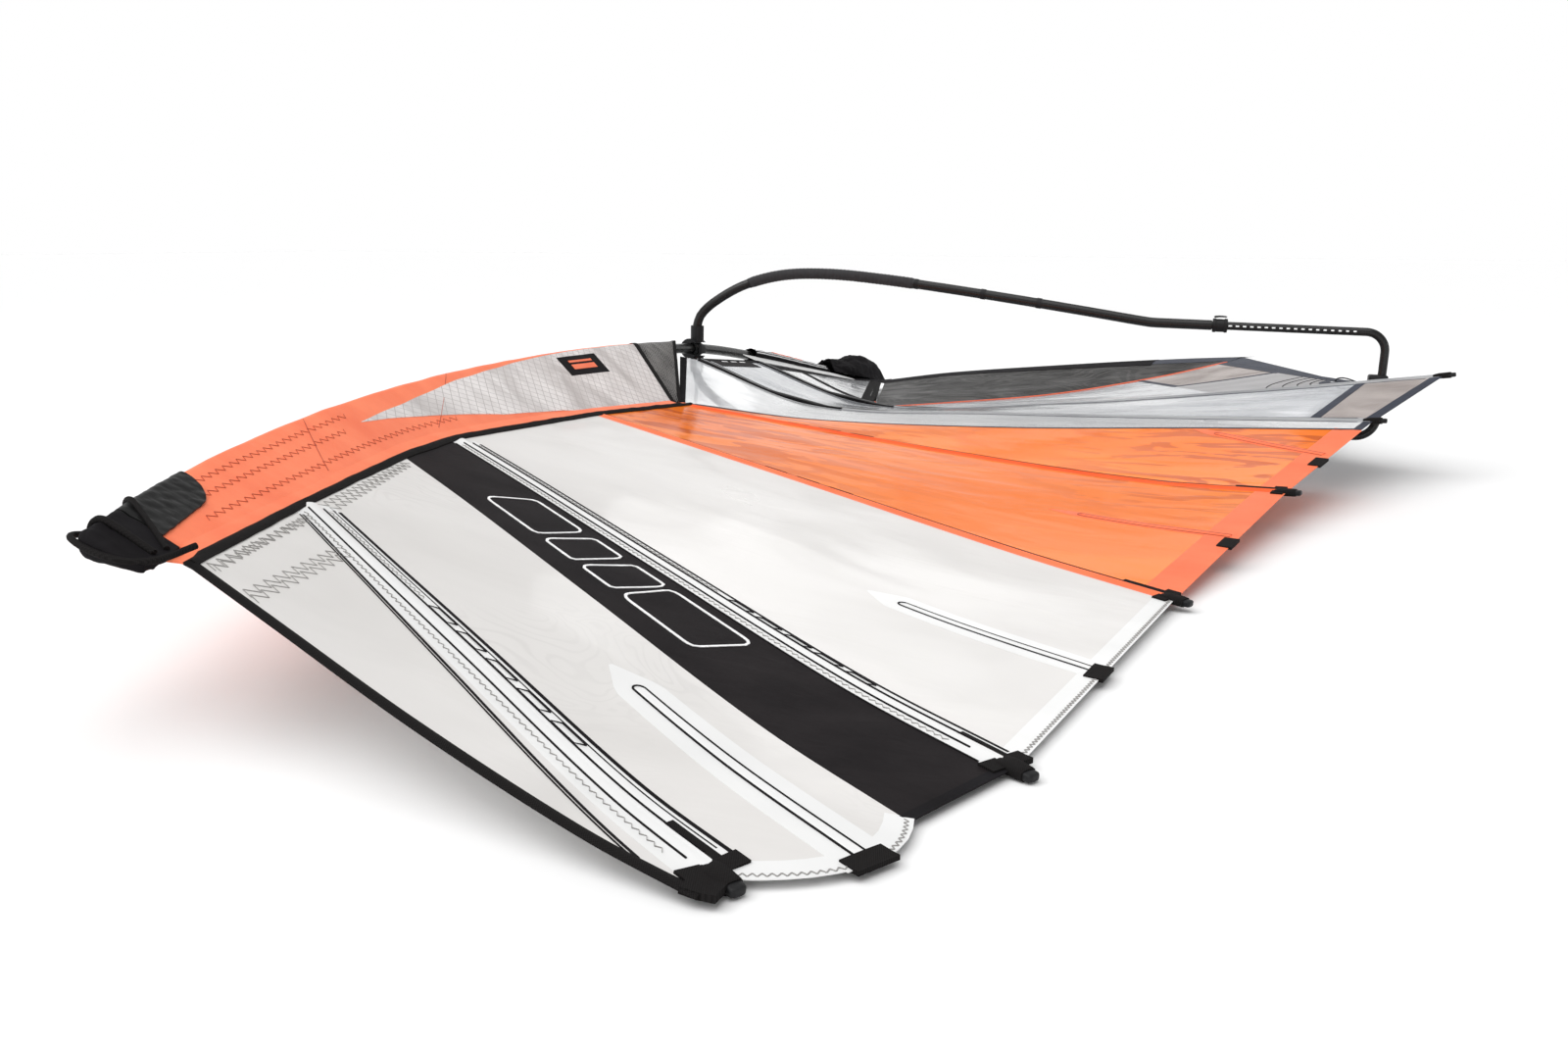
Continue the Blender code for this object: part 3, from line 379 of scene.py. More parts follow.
def grip_look():
    look = Look("grip_foam", (0.022, 0.022, 0.024), 0.9, sheen=0.1)
    cells = look.add("TexVoronoi", Vector=look.coords, Scale=520.0).outputs[0]
    look.bump(cells, 0.0007, 0.8)
    look.paint(look.mix(look.noise(60.0), (0.016, 0.016, 0.018), (0.035, 0.035, 0.038)))
    return look.mat


def scrim_look(name, colour, dark, light, pitch, alpha, roughness=0.4, painted_wavy_highlight=0.0):
    """Open laminate: diagonal yarns over a film."""
    look = Look(name, colour, roughness, alpha=alpha, coat=0.02, coat_roughness=0.15, specular=0.05)
    cloudy = look.noise(6.0, 5.0, (1.0, 1.6, 1.0), 0.3, 0.8)
    base = look.mix(look.between(cloudy, 0.35, 0.68), colour, dark)
    if painted_wavy_highlight:
        # Painted highlight: lighter wavy bands that stand in for light glancing off the scrim.
        ripple = look.noise(1.5, 1.5, (1.0, 2.4, 1.0), 0.1, 0.9)
        rings = look.math("SINE", look.math("MULTIPLY", ripple, 170.0))
        base = look.mix(look.between(rings, 0.25, 0.60, 0.0, painted_wavy_highlight), base, tuple(c * 1.5 for c in light))
    base = look.mix(look.grid(pitch, 0.09, (0.35, -0.75)), base, light)
    look.paint(base)
    look.bump(look.noise(16.0, 4.0, (1.0, 2.2, 1.0), 0.4, 0.8), 0.005, 0.5)
    look.bump(look.weave(pitch), 0.0003, 0.5)
    look.rough(cloudy, 0.3, 0.7, roughness - 0.1, roughness + 0.15)
    return look.mat


def orange_film_look():
    """Amber film: pale where it shines, with painted shade making it deep in the ripples between."""
    pale = (0.93, 0.220, 0.020)
    look = Look("orange_film", pale, 0.16, alpha=0.985, coat=0.05, coat_roughness=0.04, specular=0.04)
    split = look.add("SeparateXYZ", Vector=look.coords)
    near_luff = look.between(split.outputs[0], 1.25, 0.35)
    near_corner = look.math("MULTIPLY", look.between(split.outputs[0], 1.15, 1.60),
                            look.between(split.outputs[1], -2.62, -2.15))
    # Painted shade: the ripple creases near the luff and near one corner towards the leech are darkened to deep
    # amber.
    ripples = look.noise(3.4, 3.0, (1.0, 3.2, 1.0), -0.12, 2.0)
    edges = look.math("MULTIPLY", look.between(ripples, 0.50, 0.545),
                      look.math("MAXIMUM", near_luff, near_corner))
    broad = look.noise(1.1, 2.5, (1.0, 1.5, 1.0), 0.2, 1.1)
    base = look.mix(look.between(broad, 0.47, 0.53), pale, (0.90, 0.185, 0.006))
    look.paint(look.mix(edges, base, (0.60, 0.100, 0.001)))
    look.bump(look.noise(3.0, 3.0, (1.0, 3.0, 1.0), -0.1, 1.4), 0.012, 0.25)
    look.bump(look.noise(40.0, 2.0, (1.0, 2.0, 1.0), 0.3), 0.0014, 0.2)
    return look.mat


BLACK = (0.010, 0.009, 0.010)
LOOKS = {
    "white_film": film_look("white_film", (0.79, 0.77, 0.75), (0.72, 0.70, 0.68), 0.34, 0.94),
    # This film carries painted reflections: darker rippled streaks for reflections in wrinkled film.
    "reflection_streaked_film": film_look("reflection_streaked_film", (0.79, 0.77, 0.75), (0.72, 0.70, 0.68), 0.34, 0.94, grain_and_painted_streaks=0.5),
    "milky_film": film_look("milky_film", (0.88, 0.88, 0.875), (0.82, 0.82, 0.815), 0.38, 0.95),
    "clear_film": film_look("clear_film", (0.80, 0.81, 0.82), (0.52, 0.53, 0.55), 0.10, 0.50),
    "window_film": film_look("window_film", (0.62, 0.64, 0.67), (0.22, 0.24, 0.28), 0.08, 0.62,
                             (0.012, 0.06, (0.3, 1.87), (0.35, 0.36, 0.38))),
    "orange_film": orange_film_look(),
    "orange_cloth": cloth_look("orange_cloth", (1.0, 0.250, 0.120), (0.93, 0.190, 0.085), 0.55,
                               0.0016, 0.03, 0.4, 0.12),
    "salmon_band": cloth_look("salmon_band", (0.98, 0.215, 0.095), (0.92, 0.170, 0.070), 0.48,
                              0.0016, 0.02, 0.2, 0.10),
    "red_band": cloth_look("red_band", (0.92, 0.130, 0.035), (0.84, 0.100, 0.025), 0.48, 0.0016, 0.02, 0.2, 0.10),
    "silver_scrim": scrim_look("silver_scrim", (0.80, 0.77, 0.76), (0.52, 0.49, 0.48), (0.47, 0.44, 0.43),
                               0.019, 1.0),
    "dark_scrim": scrim_look("dark_scrim", (0.10, 0.095, 0.09), (0.010, 0.010, 0.010), (0.38, 0.37, 0.36),
                             0.007, 1.0),
    "brown_scrim": scrim_look("brown_scrim", (0.44, 0.39, 0.37), (0.26, 0.225, 0.21), (0.60, 0.55, 0.53),
                              0.008, 0.94),
    # The foot scrim carries painted highlights: lighter wavy bands.
    "foot_scrim": scrim_look("foot_scrim", (0.013, 0.012, 0.012), (0.004, 0.004, 0.004),
                             (0.085, 0.080, 0.076), 0.013, 0.985, painted_wavy_highlight=0.28),
    "black_cloth": cloth_look("black_cloth", BLACK, (0.016, 0.015, 0.017), 0.70, 0.0022, 0.0, 0.3, 0.04),
    "black_panel": cloth_look("black_panel", (0.011, 0.009, 0.010), (0.019, 0.016, 0.017), 0.55,
                              0.0016, 0.0, 0.12, 0.03),
    "slate_cloth": cloth_look("slate_cloth", (0.040, 0.046, 0.068), (0.024, 0.028, 0.042), 0.55,
                              0.0018, 0.03, 0.3, 0.12),
    "webbing": webbing_look("webbing", (0.012, 0.011, 0.011)),
    "grey_patch": cloth_look("grey_patch", (0.40, 0.39, 0.395), (0.29, 0.28, 0.285), 0.48, 0.0018),
    "line": webbing_look("braided_line", (0.030, 0.030, 0.034), 0.0022),
    "thread": cloth_look("thread", (0.15, 0.14, 0.135), (0.09, 0.085, 0.08), 0.6, 0.0008),
    "pale_thread": cloth_look("pale_thread", (0.36, 0.35, 0.34), (0.28, 0.27, 0.26), 0.6, 0.0008),
    "dark_thread": cloth_look("dark_thread", (0.50, 0.085, 0.040), (0.40, 0.060, 0.025), 0.6, 0.0008),
    "ink": plastic_look("ink", (0.008, 0.007, 0.008), 0.50, 0.04),
    "white_ink": plastic_look("white_ink", (0.86, 0.86, 0.86), 0.40),
    "carbon": carbon_look("carbon", (0.006, 0.006, 0.006), 0.20),
    "plastic": plastic_look("moulded_nylon", (0.012, 0.012, 0.013), 0.42),
    "rubber": plastic_look("embossed_rubber", (0.007, 0.007, 0.007), 0.42, 0.12),
    "grip": grip_look(),
    "aluminium": metal_look("aluminium", (0.62, 0.63, 0.65), 0.30),
    "steel": metal_look("stainless_steel", (0.66, 0.67, 0.68), 0.22),
}

# The slot for a piece of each look, unless it names another; register reads it but gives it to no piece.
SLOT_OF = {"webbing": "black_cloth", "black_cloth": "black_cloth", "black_panel": "black_cloth", "ink": "black_cloth",
           "milky_film": "white_film", "white_ink": "white_film", "orange_cloth": "orange_cloth",
           "salmon_band": "orange_cloth", "red_band": "orange_cloth", "dark_thread": "orange_cloth",
           "slate_cloth": "slate_cloth", "silver_scrim": "slate_cloth", "clear_film": "clear_film", "line": "line",
           "pale_thread": "line", "rubber": "black_plastic", "plastic": "black_plastic", "carbon": "carbon",
           "grip": "grip_foam", "aluminium": "aluminium", "steel": "steel"}


# ---------------------------------------------------------------- building pieces
def register(obj, look, body, replaces, slot):
    """Gives a piece its look, and its place in the frame."""
    obj.data.materials.append(LOOKS[look])
    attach(obj, body)
    if replaces:
        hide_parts(*replaces)
    slot or SLOT_OF[look]
    return obj


def dress(node, look):
    """Gives a kept CAD piece its look."""
    materials = frame["nodes"][node].data.materials
    materials.clear()
    materials.append(LOOKS[look])


def linked(name, mesh):
    obj = bpy.data.objects.new(name, mesh)
    bpy.context.scene.collection.objects.link(obj)
    return obj


class Skin:
    """Gathers closed shells into one piece."""

    def __init__(self):
        self.verts = []
        self.faces = []
        self.count = 0

    def add(self, verts, faces):
        self.verts.append(np.asarray(verts, float).reshape(-1, 3))
        self.faces.extend((np.asarray(f) + self.count).tolist() for f in faces)
        self.count += len(self.verts[-1])
        return self

    def shell(self, points, thickness):
        """Slab over a grid of points; thickness is a number, or one for each column or point."""
        points = np.asarray(points, float)
        rows, columns, _ = points.shape
        normal = np.cross(np.gradient(points, axis=0), np.gradient(points, axis=1))
        normal /= np.linalg.norm(normal, axis=2, keepdims=True) + 1e-12
        half = (np.broadcast_to(np.asarray(thickness, float), (rows, columns)) / 2)[..., None]
        verts = np.concatenate([(points + normal * half).reshape(-1, 3),
                                (points - normal * half).reshape(-1, 3)])
        ids = np.arange(rows * columns).reshape(rows, columns)
        a, b, c, d = ids[:-1, :-1], ids[1:, :-1], ids[1:, 1:], ids[:-1, 1:]
        top = np.stack([a, b, c, d], -1).reshape(-1, 4)
        bottom = np.stack([a, d, c, b], -1).reshape(-1, 4) + rows * columns
        rim = np.concatenate([ids[:-1, 0], ids[-1, :-1], ids[:0:-1, -1], ids[0, :0:-1]])
        following = np.roll(rim, -1)
        sides = np.stack([following, rim, rim + rows * columns, following + rows * columns], -1)
        return self.add(verts, np.concatenate([top, bottom, sides]))

    def rings(self, rings, closed=False):
        """Skin over rings of equal counts, capped unless the last ring joins the first."""
        rings = np.asarray(rings, float)
        n, m, _ = rings.shape
        ids = np.arange(n * m).reshape(n, m)
        faces = []
        last = n if closed else n - 1
        for i in range(last):
            low, high = ids[i], ids[(i + 1) % n]
            faces.extend(np.stack([low, np.roll(low, -1), np.roll(high, -1), high], -1).tolist())
        if not closed:
            faces.append(ids[0][::-1].tolist())
            faces.append(ids[-1].tolist())
        return self.add(rings.reshape(-1, 3), faces)

    def rod(self, path, radius, sides=10, guide=UP):
        """Solid rod along a path; radius is a number or one for each point."""
        radius = radius if isinstance(radius, list) else [radius] * len(path)
        return self.rings([ring_at(path, i, radius[i], sides, guide) for i in range(len(path))])

    def tube(self, path, outer, inner, sides=28, guide=UP):
        outer = outer if isinstance(outer, list) else [outer] * len(path)
        inner = inner if isinstance(inner, list) else [inner] * len(path)
        outside = [ring_at(path, i, outer[i], sides, guide) for i in range(len(path))]
        inside = [ring_at(path, i, inner[i], sides, guide) for i in range(len(path))]
        return self.rings(outside + inside[::-1], closed=True)

    def mesh(self, name, sharp=38):
        mesh = bpy.data.meshes.new(name)
        mesh.from_pydata(np.concatenate(self.verts).tolist(), [], self.faces)
        mesh.validate()
        mesh.shade_smooth()
        mesh.set_sharp_from_angle(angle=math.radians(sharp))
        return mesh

    def build(self, name, look, body="rig", replaces=(), slot=None, sharp=38):
        return register(linked(name, self.mesh(name, sharp)), look, body, replaces, slot)


def ring_at(path, i, radius, sides, guide):
    along = (path[min(i + 1, len(path) - 1)] - path[max(i - 1, 0)]).normalized()
    across = along.cross(guide).normalized()
    up = across.cross(along)
    return [path[i] + across * radius * math.cos(t) + up * radius * math.sin(t) for t in full_turn(sides, 0.5)]


def full_turn(sides, start=0.0):
    """Angles round a ring; start is a share of one step."""
    return [2 * math.pi * (k + start) / sides for k in range(sides)]


def oval(power, sides):
    """Cosines and sines round a squared-off ring."""
    return [(math.copysign(abs(math.cos(t)) ** power, math.cos(t)),
             math.copysign(abs(math.sin(t)) ** power, math.sin(t))) for t in full_turn(sides, 0.5)]


def bridge(pairs, steps):
    """Grid of points from each pair's first point to its second."""
    return [[tuple(a.lerp(b, k / steps)) for k in range(steps + 1)] for a, b in pairs]


class Surface:
    """Something that bands, lines and stitches are laid on."""

    def __init__(self, grids, side=1):
        verts = []
        faces = []
        for grid in grids:
            rows, columns, _ = grid.shape
            base = len(verts)
            verts.extend(grid.reshape(-1, 3).tolist())
            for i in range(rows - 1):
                for j in range(columns - 1):
                    a = base + i * columns + j
                    faces.append((a, a + columns, a + columns + 1, a + 1))
        self.tree = BVHTree.FromPolygons(verts, faces)
        self.side = side

    def height(self, x, y):
        hit = self.tree.ray_cast(Vector((x, y, 2.0 * self.side)), Vector((0.0, 0.0, -self.side)))[0]
        if hit is None:
            hit = Vector((x, y, 0.15))
            for _ in range(4):
                hit = self.tree.find_nearest(Vector((x, y, hit.z)))[0]
        return hit.z


def resampled(path, step):
    """The same line, in steps of about equal length."""
    path = [Vector((p[0], p[1])) for p in path]
    lengths = [(b - a).length for a, b in zip(path, path[1:])]
    total = sum(lengths)
    count = max(int(total / step), 2)
    points = []
    for k in range(count + 1):
        left = total * k / count
        i = 0
        while i < len(lengths) - 1 and left > lengths[i]:
            left -= lengths[i]
            i += 1
        points.append(path[i].lerp(path[i + 1], min(left / lengths[i], 1.0) if lengths[i] else 0.0))
    return points


def side_steps(points):
    """Unit vectors to the left of a line, at each of its points."""
    out = []
    for i in range(len(points)):
        along = (points[min(i + 1, len(points) - 1)] - points[max(i - 1, 0)]).normalized()
        out.append(Vector((-along.y, along.x)))
    return out


def lay_band(skin, surface, path, width, thickness=0.0012, shift=0.0, profile=None, step=0.02,
             lift=0.0, taper=None):
    """Strip along a path on a surface; profile is (place across from -1 to 1, thickness) pairs."""
    points = resampled(path, step)
    steps = side_steps(points)
    profile = profile or ((-1.0, thickness), (0.0, thickness), (1.0, thickness))
    rows = []
    for i, point in enumerate(points):
        wide = width * (taper(i / (len(points) - 1)) if taper else 1.0)
        row = []
        for across, _ in profile:
            p = point + steps[i] * (shift + across * wide / 2)
            row.append((p.x, p.y, surface.height(p.x, p.y) + lift))
        rows.append(row)
    return skin.shell(rows, [thick for _, thick in profile])


def strips(name, look, *bands, **shared):
    """One piece of bands on the sail, each given as path, width, thickness and its own settings."""
    skin = Skin()
    for path, width, thickness, *own in bands:
        lay_band(skin, SAIL, path, width, thickness, **shared, **(own[0] if own else {}))
    return skin.build(name, look)


def lay_zigzag(skin, surface, path, pitch, height, width=0.0010, thickness=0.0024, shift=0.0, lift=0.0):
    """Row of zigzag stitching along a path."""
    points = resampled(path, pitch / 2)
    steps = side_steps(points)
    verts = []
    faces = []
    for i, point in enumerate(points):
        along = Vector((steps[i].y, -steps[i].x))
        corner = point + steps[i] * (shift + (height / 2 if i % 2 else -height / 2))
        for sign in (-1, 1):
            p = corner + along * sign * width
            z = surface.height(p.x, p.y) + lift
            verts += [(p.x, p.y, z - thickness / 2), (p.x, p.y, z + thickness / 2)]
        if i:
            a = 4 * (i - 1)
            faces += [(a + 1, a + 3, a + 7, a + 5), (a, a + 4, a + 6, a + 2), (a, a + 1, a + 5, a + 4),
                      (a + 2, a + 6, a + 7, a + 3)]
    last = len(verts) - 4
    faces += [(0, 2, 3, 1), (last, last + 1, last + 3, last + 2)]
    return skin.add(verts, faces)


def seam_path(name, start=0.0, end=1.0, count=24):
    return [seam_point(name, start + (end - start) * i / count) for i in range(count + 1)]


def spot(x, y):
    """Floor-plan point given in the source's coordinates."""
    return Vector((x + SHIFT.x, y + SHIFT.y))


# ---------------------------------------------------------------- sail panels
def ruled(first, second, first_span=(0.0, 1.0), second_span=(0.0, 1.0), strip=(0.0, 1.0), roach=0.0):
    at_leech = max(first_span[1], second_span[1]) >= 1.0

    def corner(u, v):
        a = seam_point(first, first_span[0] + (first_span[1] - first_span[0]) * u)
        b = seam_point(second, second_span[0] + (second_span[1] - second_span[0]) * u)
        bulge = Vector((roach, -roach / 3, 0.0)) * 4.0 * v * (1.0 - v) * u ** 4
        return a.lerp(b, v) + bulge

    def point(u, v):
        v = strip[0] + (strip[1] - strip[0]) * v
        length = (corner(0.0, v) - corner(1.0, v)).length
        return corner(u * (1.0 - (LEECH_MARGIN if at_leech else 0.0) / length), v)

    return point


CLEW_FRONT = (WINDOW_SPLIT, CLEW_SPAN)
PIPING_SPLIT = 0.74
# How each panel is spanned, what it is made of, and how far its creases reach.
PANELS = {
    "head_panel": (ruled("head", "batten_1"), "white_film", 0.0010),
    "upper_film_panel": (ruled("batten_1", "stripe", roach=FILM_ROACH), "reflection_streaked_film", 0.0022),
    "stripe_panel": (ruled("stripe", "batten_2"), "black_panel", 0.0012),
    "middle_film_panel": (ruled("batten_2", "batten_3"), "white_film", 0.0024),
    "orange_panel_upper": (ruled("batten_3", "batten_4"), "orange_film", 0.0024),
    "orange_panel_lower": (ruled("batten_4", "window"), "orange_film", 0.0020),
    "front_window_panel": (ruled("window", "batten_5"), "clear_film", 0.0018),
    "window_panel": (ruled("batten_5", "batten_6", (0.0, SCRIM_SPAN), (0.0, CLEW_SPAN)), "window_film", 0.0024),
    "leech_scrim_panel": (ruled("batten_5", "batten_6", (SCRIM_SPAN, 1.0), (CLEW_SPAN, 1.0)),
                          "brown_scrim", 0.0008),
    "tack_panel": (ruled("batten_6", "tack", (0.0, TACK_SPAN)), "clear_film", 0.0014),
    "lower_window_panel": (ruled("batten_6", "piping", (TACK_SPAN, WINDOW_SPLIT), (0.0, PIPING_SPLIT)),
                           "window_film", 0.0020),
    "clew_patch": (ruled("batten_6", "piping", CLEW_FRONT, (PIPING_SPLIT, 1.0), (0.0, 0.5)),
                   "grey_patch", 0.0006),
    "foot_mesh_panel": (ruled("batten_6", "piping", CLEW_FRONT, (PIPING_SPLIT, 1.0), (0.5, 1.0)),
                        "brown_scrim", 0.0006),
    "foot_scrim_panel": (ruled("piping", "foot"), "foot_scrim", 0.0016),
    "foot_band": (ruled("foot", "foot_edge"), "black_cloth", 0.0006),
}
PANEL_SLOTS = {node["node"]: node["material_slot"] for node in frame["record"]["subparts"]}


def on_panel(panel, u, v):
    """Point at shares of the way across and down a panel."""
    return PANELS[panel][0](u, v)


def down_panel(panel, u, steps, start=0.0, end=1.0):
    return [on_panel(panel, u, start + (end - start) * k / steps) for k in range(steps + 1)]


def panel_grid(name, point, wrinkle):
    """Points over a panel, with soft creases that fade out at its seams."""
    long = (point(0.0, 0.5) - point(1.0, 0.5)).length
    deep = (point(0.5, 0.0) - point(0.5, 1.0)).length
    across = max(int(long / GRID_STEP), 10)
    down = max(int(deep / GRID_STEP), 6)
    seed = 3.7 * sorted(PANELS).index(name)
    grid = np.zeros((across + 1, down + 1, 3))
    for i in range(across + 1):
        for j in range(down + 1):
            u, v = i / across, j / down
            p = point(u, v)
            inside = math.sin(math.pi * v) ** 0.6 * min(1.0, 8.0 * u, 8.0 * (1.0 - u))
            crease = noise.noise(Vector((u * long * 1.6 + v * deep * 1.5, v * deep * 7.0, seed)))
            fine = noise.noise(Vector((u * long * 5.0, v * deep * 19.0, seed + 9.0)))
            p.z += wrinkle * inside * (crease + 0.35 * fine)
            grid[i, j] = p
    return grid


GRIDS = {name: panel_grid(name, point, wrinkle) for name, (point, look, wrinkle) in PANELS.items()}
for panel, (_, look, _) in PANELS.items():
    Skin().shell(GRIDS[panel], FILM_THICK).build("sail_" + panel, look, replaces=(panel,), slot=PANEL_SLOTS[panel])
SAIL = Surface(list(GRIDS.values()))


# ---------------------------------------------------------------- luff sleeve
def sleeve_outline(y_mast, y_back, spare=0.0, arc=22, flat=9):
    """Teardrop from the upper back edge, round the mast, to the lower back edge."""
    centre = mast_point(y_mast)
    back = sleeve_back(y_back)
    chord = Vector((back.x - centre.x, back.z - centre.z))
    radius = SLEEVE_R + (SLEEVE_TIP_R - SLEEVE_R) * min(max((-y_mast - 1.9) / 2.3, 0.0), 1.0) + spare
    half = max(0.0040 + spare / 2, 0.0010)
    length = chord.length + min(spare, 0.0) * 3
    swing = math.acos((radius - half) / length)
    heading = math.atan2(chord.y, chord.x)
    turns = [heading + swing + (2 * math.pi - 2 * swing) * i / arc for i in range(arc + 1)]
    front = [Vector((math.cos(t), math.sin(t))) * radius for t in turns]
    end = Vector((math.cos(heading), math.sin(heading))) * length
    normal = Vector((-math.sin(heading), math.cos(heading))) * half
    upper = [(end + normal).lerp(front[0], i / flat) for i in range(flat)]
    lower = [front[-1].lerp(end - normal, (i + 1) / flat) for i in range(flat)]
    points = []
    for flat_point in upper + front + lower:
        share = min(max(flat_point.x / chord.x, 0.0), 1.0)
        p = Vector((centre.x + flat_point.x, y_mast + (y_back - y_mast) * share, centre.z + flat_point.y))
        ripple = noise.noise(p * 11.0) * 0.0016 + noise.noise(Vector((p.x * 30.0, p.y * 14.0, p.z * 30.0))) * 0.0005
        out = Vector((flat_point.x - chord.x * 0.4 * share, 0.0, flat_point.y))
        points.append(p + (out.normalized() * ripple if out.length else Vector()))
    return points


def along_outline(points, share):
    """Point at a share of the outline's length."""
    lengths = [(b - a).length for a, b in zip(points, points[1:])]
    left = sum(lengths) * min(max(share, 0.0), 1.0)
    for i, length in enumerate(lengths):
        if left <= length or i == len(lengths) - 1:
            return points[i].lerp(points[i + 1], min(left / length, 1.0))
        left -= length
    return points[-1]


SLEEVE_ENDS = ((-1.890, -2.012), (SLEEVE_TOP, SLEEVE_TOP))
CUTOUT_ENDS = ((-1.630, -1.972), (-1.890, -2.012))


def between_ends(ends, f):
    return (ends[0][0] + (ends[1][0] - ends[0][0]) * f, ends[0][1] + (ends[1][1] - ends[0][1]) * f)


def sleeve_shell(name, ends, steps, look, node):
    outside = [sleeve_outline(*between_ends(ends, i / steps)) for i in range(steps + 1)]
    inside = [sleeve_outline(*between_ends(ends, i / steps), spare=-CLOTH_THICK) for i in range(steps + 1)]
    Skin().rings(outside + inside[::-1], closed=True).build(name, look, replaces=(node,), slot=PANEL_SLOTS[node])
    return np.asarray([[list(p) for p in ring] for ring in outside])


SLEEVE_GRIDS = [sleeve_shell("sleeve_body", SLEEVE_ENDS, 130, "orange_cloth", "luff_sleeve"),
                sleeve_shell("sleeve_cutout", CUTOUT_ENDS, 16, "dark_scrim", "sleeve_cutout_edge")]
SLEEVE_UPPER = Surface(SLEEVE_GRIDS, 1)
SLEEVE_LOWER = Surface(SLEEVE_GRIDS, -1)


def sleeve_patch(skin, ends, low, high, out=0.0006, thickness=0.0008, rows=70, columns=16, mirrored=True):
    """Cloth laid on the sleeve between two edges, given as shares of the outline for each reach."""
    for flip in ((False, True) if mirrored else (False,)):
        grid = []
        for i in range(rows + 1):
            y_mast, y_back = between_ends(ends, i / rows)
            outline = sleeve_outline(y_mast, y_back, spare=out)
            if flip:
                outline = outline[::-1]
            reach = -(y_mast + y_back) / 2
            start, end = low(reach), high(reach)
            grid.append([along_outline(outline, start + (end - start) * j / columns) for j in range(columns + 1)])
        skin.shell(grid, thickness)
    return skin


def from_table(*table):
    """Straight lines through (position, value) pairs."""
    places = [t[0] for t in table]
    values = [t[1] for t in table]
    return lambda t: float(np.interp(t, places, values))


INSET_TIP = -3.34
sleeve_patch(Skin(), (SLEEVE_ENDS[0], (INSET_TIP, INSET_TIP)),
             from_table((1.9, 0.0), (2.45, 0.004), (2.55, 0.03), (2.82, 0.06), (3.13, 0.17), (3.34, 0.262)),
             from_table((1.9, 0.450), (2.3, 0.442), (2.56, 0.425), (2.88, 0.375), (3.15, 0.295), (3.34, 0.265)),
             ).build("sleeve_inset", "silver_scrim")

tapes = Skin()
for y_mast, y_back, half_width in ((-1.889, -2.011, 0.011), (-1.636, -1.973, 0.009)):
    ends = ((y_mast + half_width, y_back + half_width), (y_mast - half_width, y_back - half_width))
    sleeve_patch(tapes, ends, lambda t: 0.0, lambda t: 1.0, 0.0016, 0.0016, rows=2, columns=60, mirrored=False)
tapes.build("sleeve_tapes", "webbing")

tag = sleeve_patch(Skin(), ((-2.16, -2.20), (-2.36, -2.40)), lambda t: 0.26, lambda t: 0.40, 0.0014, 0.0008, 10, 8)
tag.build("sleeve_tag", "black_cloth")
tag = sleeve_patch(Skin(), ((-2.20, -2.24), (-2.32, -2.36)), lambda t: 0.30, lambda t: 0.335, 0.0022, 0.0008, 10, 4)
sleeve_patch(tag, ((-2.20, -2.24), (-2.32, -2.36)), lambda t: 0.35, lambda t: 0.365, 0.0022, 0.0008, 10, 4)
tag.build("sleeve_tag_bars", "salmon_band")


def sleeve_line(share, start, end, count=60):
    """Floor plan of a line along the sleeve at a share of its outline."""
    return [along_outline(sleeve_outline(y, y), share) for y in
            (start + (end - start) * i / count for i in range(count + 1))]


stitches = Skin()
for share, start, end in ((0.10, -3.02, -4.02), (0.24, -3.42, -3.98), (0.34, -3.36, -3.96)):
    for surface, place, lift in ((SLEEVE_UPPER, share, 0.0006), (SLEEVE_LOWER, 1.0 - share, -0.0006)):
        lay_zigzag(stitches, surface, sleeve_line(place, start, end), 0.026, 0.011, 0.0005, 0.0010, lift=lift)
stitches.build("sleeve_stitches", "dark_thread")

seams = Skin()
for low_share, high_share, y_low, y_high in ((0.05, 0.44, -3.62, -3.48), (0.06, 0.46, -3.12, -2.86)):
    for surface, flip, lift in ((SLEEVE_UPPER, 0, 0.0004), (SLEEVE_LOWER, 1, -0.0004)):
        path = []
        for i in range(21):
            share = low_share + (high_share - low_share) * i / 20
            y = y_low + (y_high - y_low) * i / 20
            path.append(along_outline(sleeve_outline(y, y), 1.0 - share if flip else share))
        lay_band(seams, surface, path, 0.0010, 0.0010, lift=lift)
seams.build("sleeve_seams", "dark_thread")

# ---------------------------------------------------------------- luff tape and the lower sleeve
FRONTS = sorted((-SEAMS[name][0][1], SEAMS[name][0][0] + SHIFT.x) for name in
                ("head", "batten_1", "stripe", "batten_2", "batten_3", "batten_4", "window"))


def panel_front(y):
    return float(np.interp(-y, [f[0] for f in FRONTS], [f[1] for f in FRONTS]))


def luff_strip(first, last, crown, thickness, name, look, **links):
    """Strip between the sleeve and the panels, from share first to last of the way across."""
    rows = []
    for i in range(161):
        y = -1.955 + (-4.165 + 1.955) * i / 160
        back = sleeve_back(y)
        wobble = 0.0014 * noise.noise(Vector((0.0, y * 14.0, 2.0)))
        left, right = back.x - 0.007 + wobble, panel_front(y) + 0.008 + 2.0 * wobble
        left_z = SLEEVE_UPPER.height(left, y) - 0.002 if y < -2.02 else back.z
        right_z = SAIL.height(right, y)
        row = []
        for k in range(9):
            f = k / 8
            across = first + (last - first) * f
            puff = crown * math.sin(math.pi * f) * (1.0 + 0.5 * noise.noise(Vector((f * 3.0, y * 22.0, 5.0))))
            row.append((left + (right - left) * across, y, left_z + (right_z - left_z) * across + puff))
        rows.append(row)
    Skin().shell(rows, thickness).build(name, look, **links)


luff_strip(0.0, 0.86, 0.0006, 0.0030, "luff_skirt", "orange_cloth")
luff_strip(0.60, 1.0, 0.0040, 0.0044, "luff_webbing", "webbing", replaces=("luff_tape",))


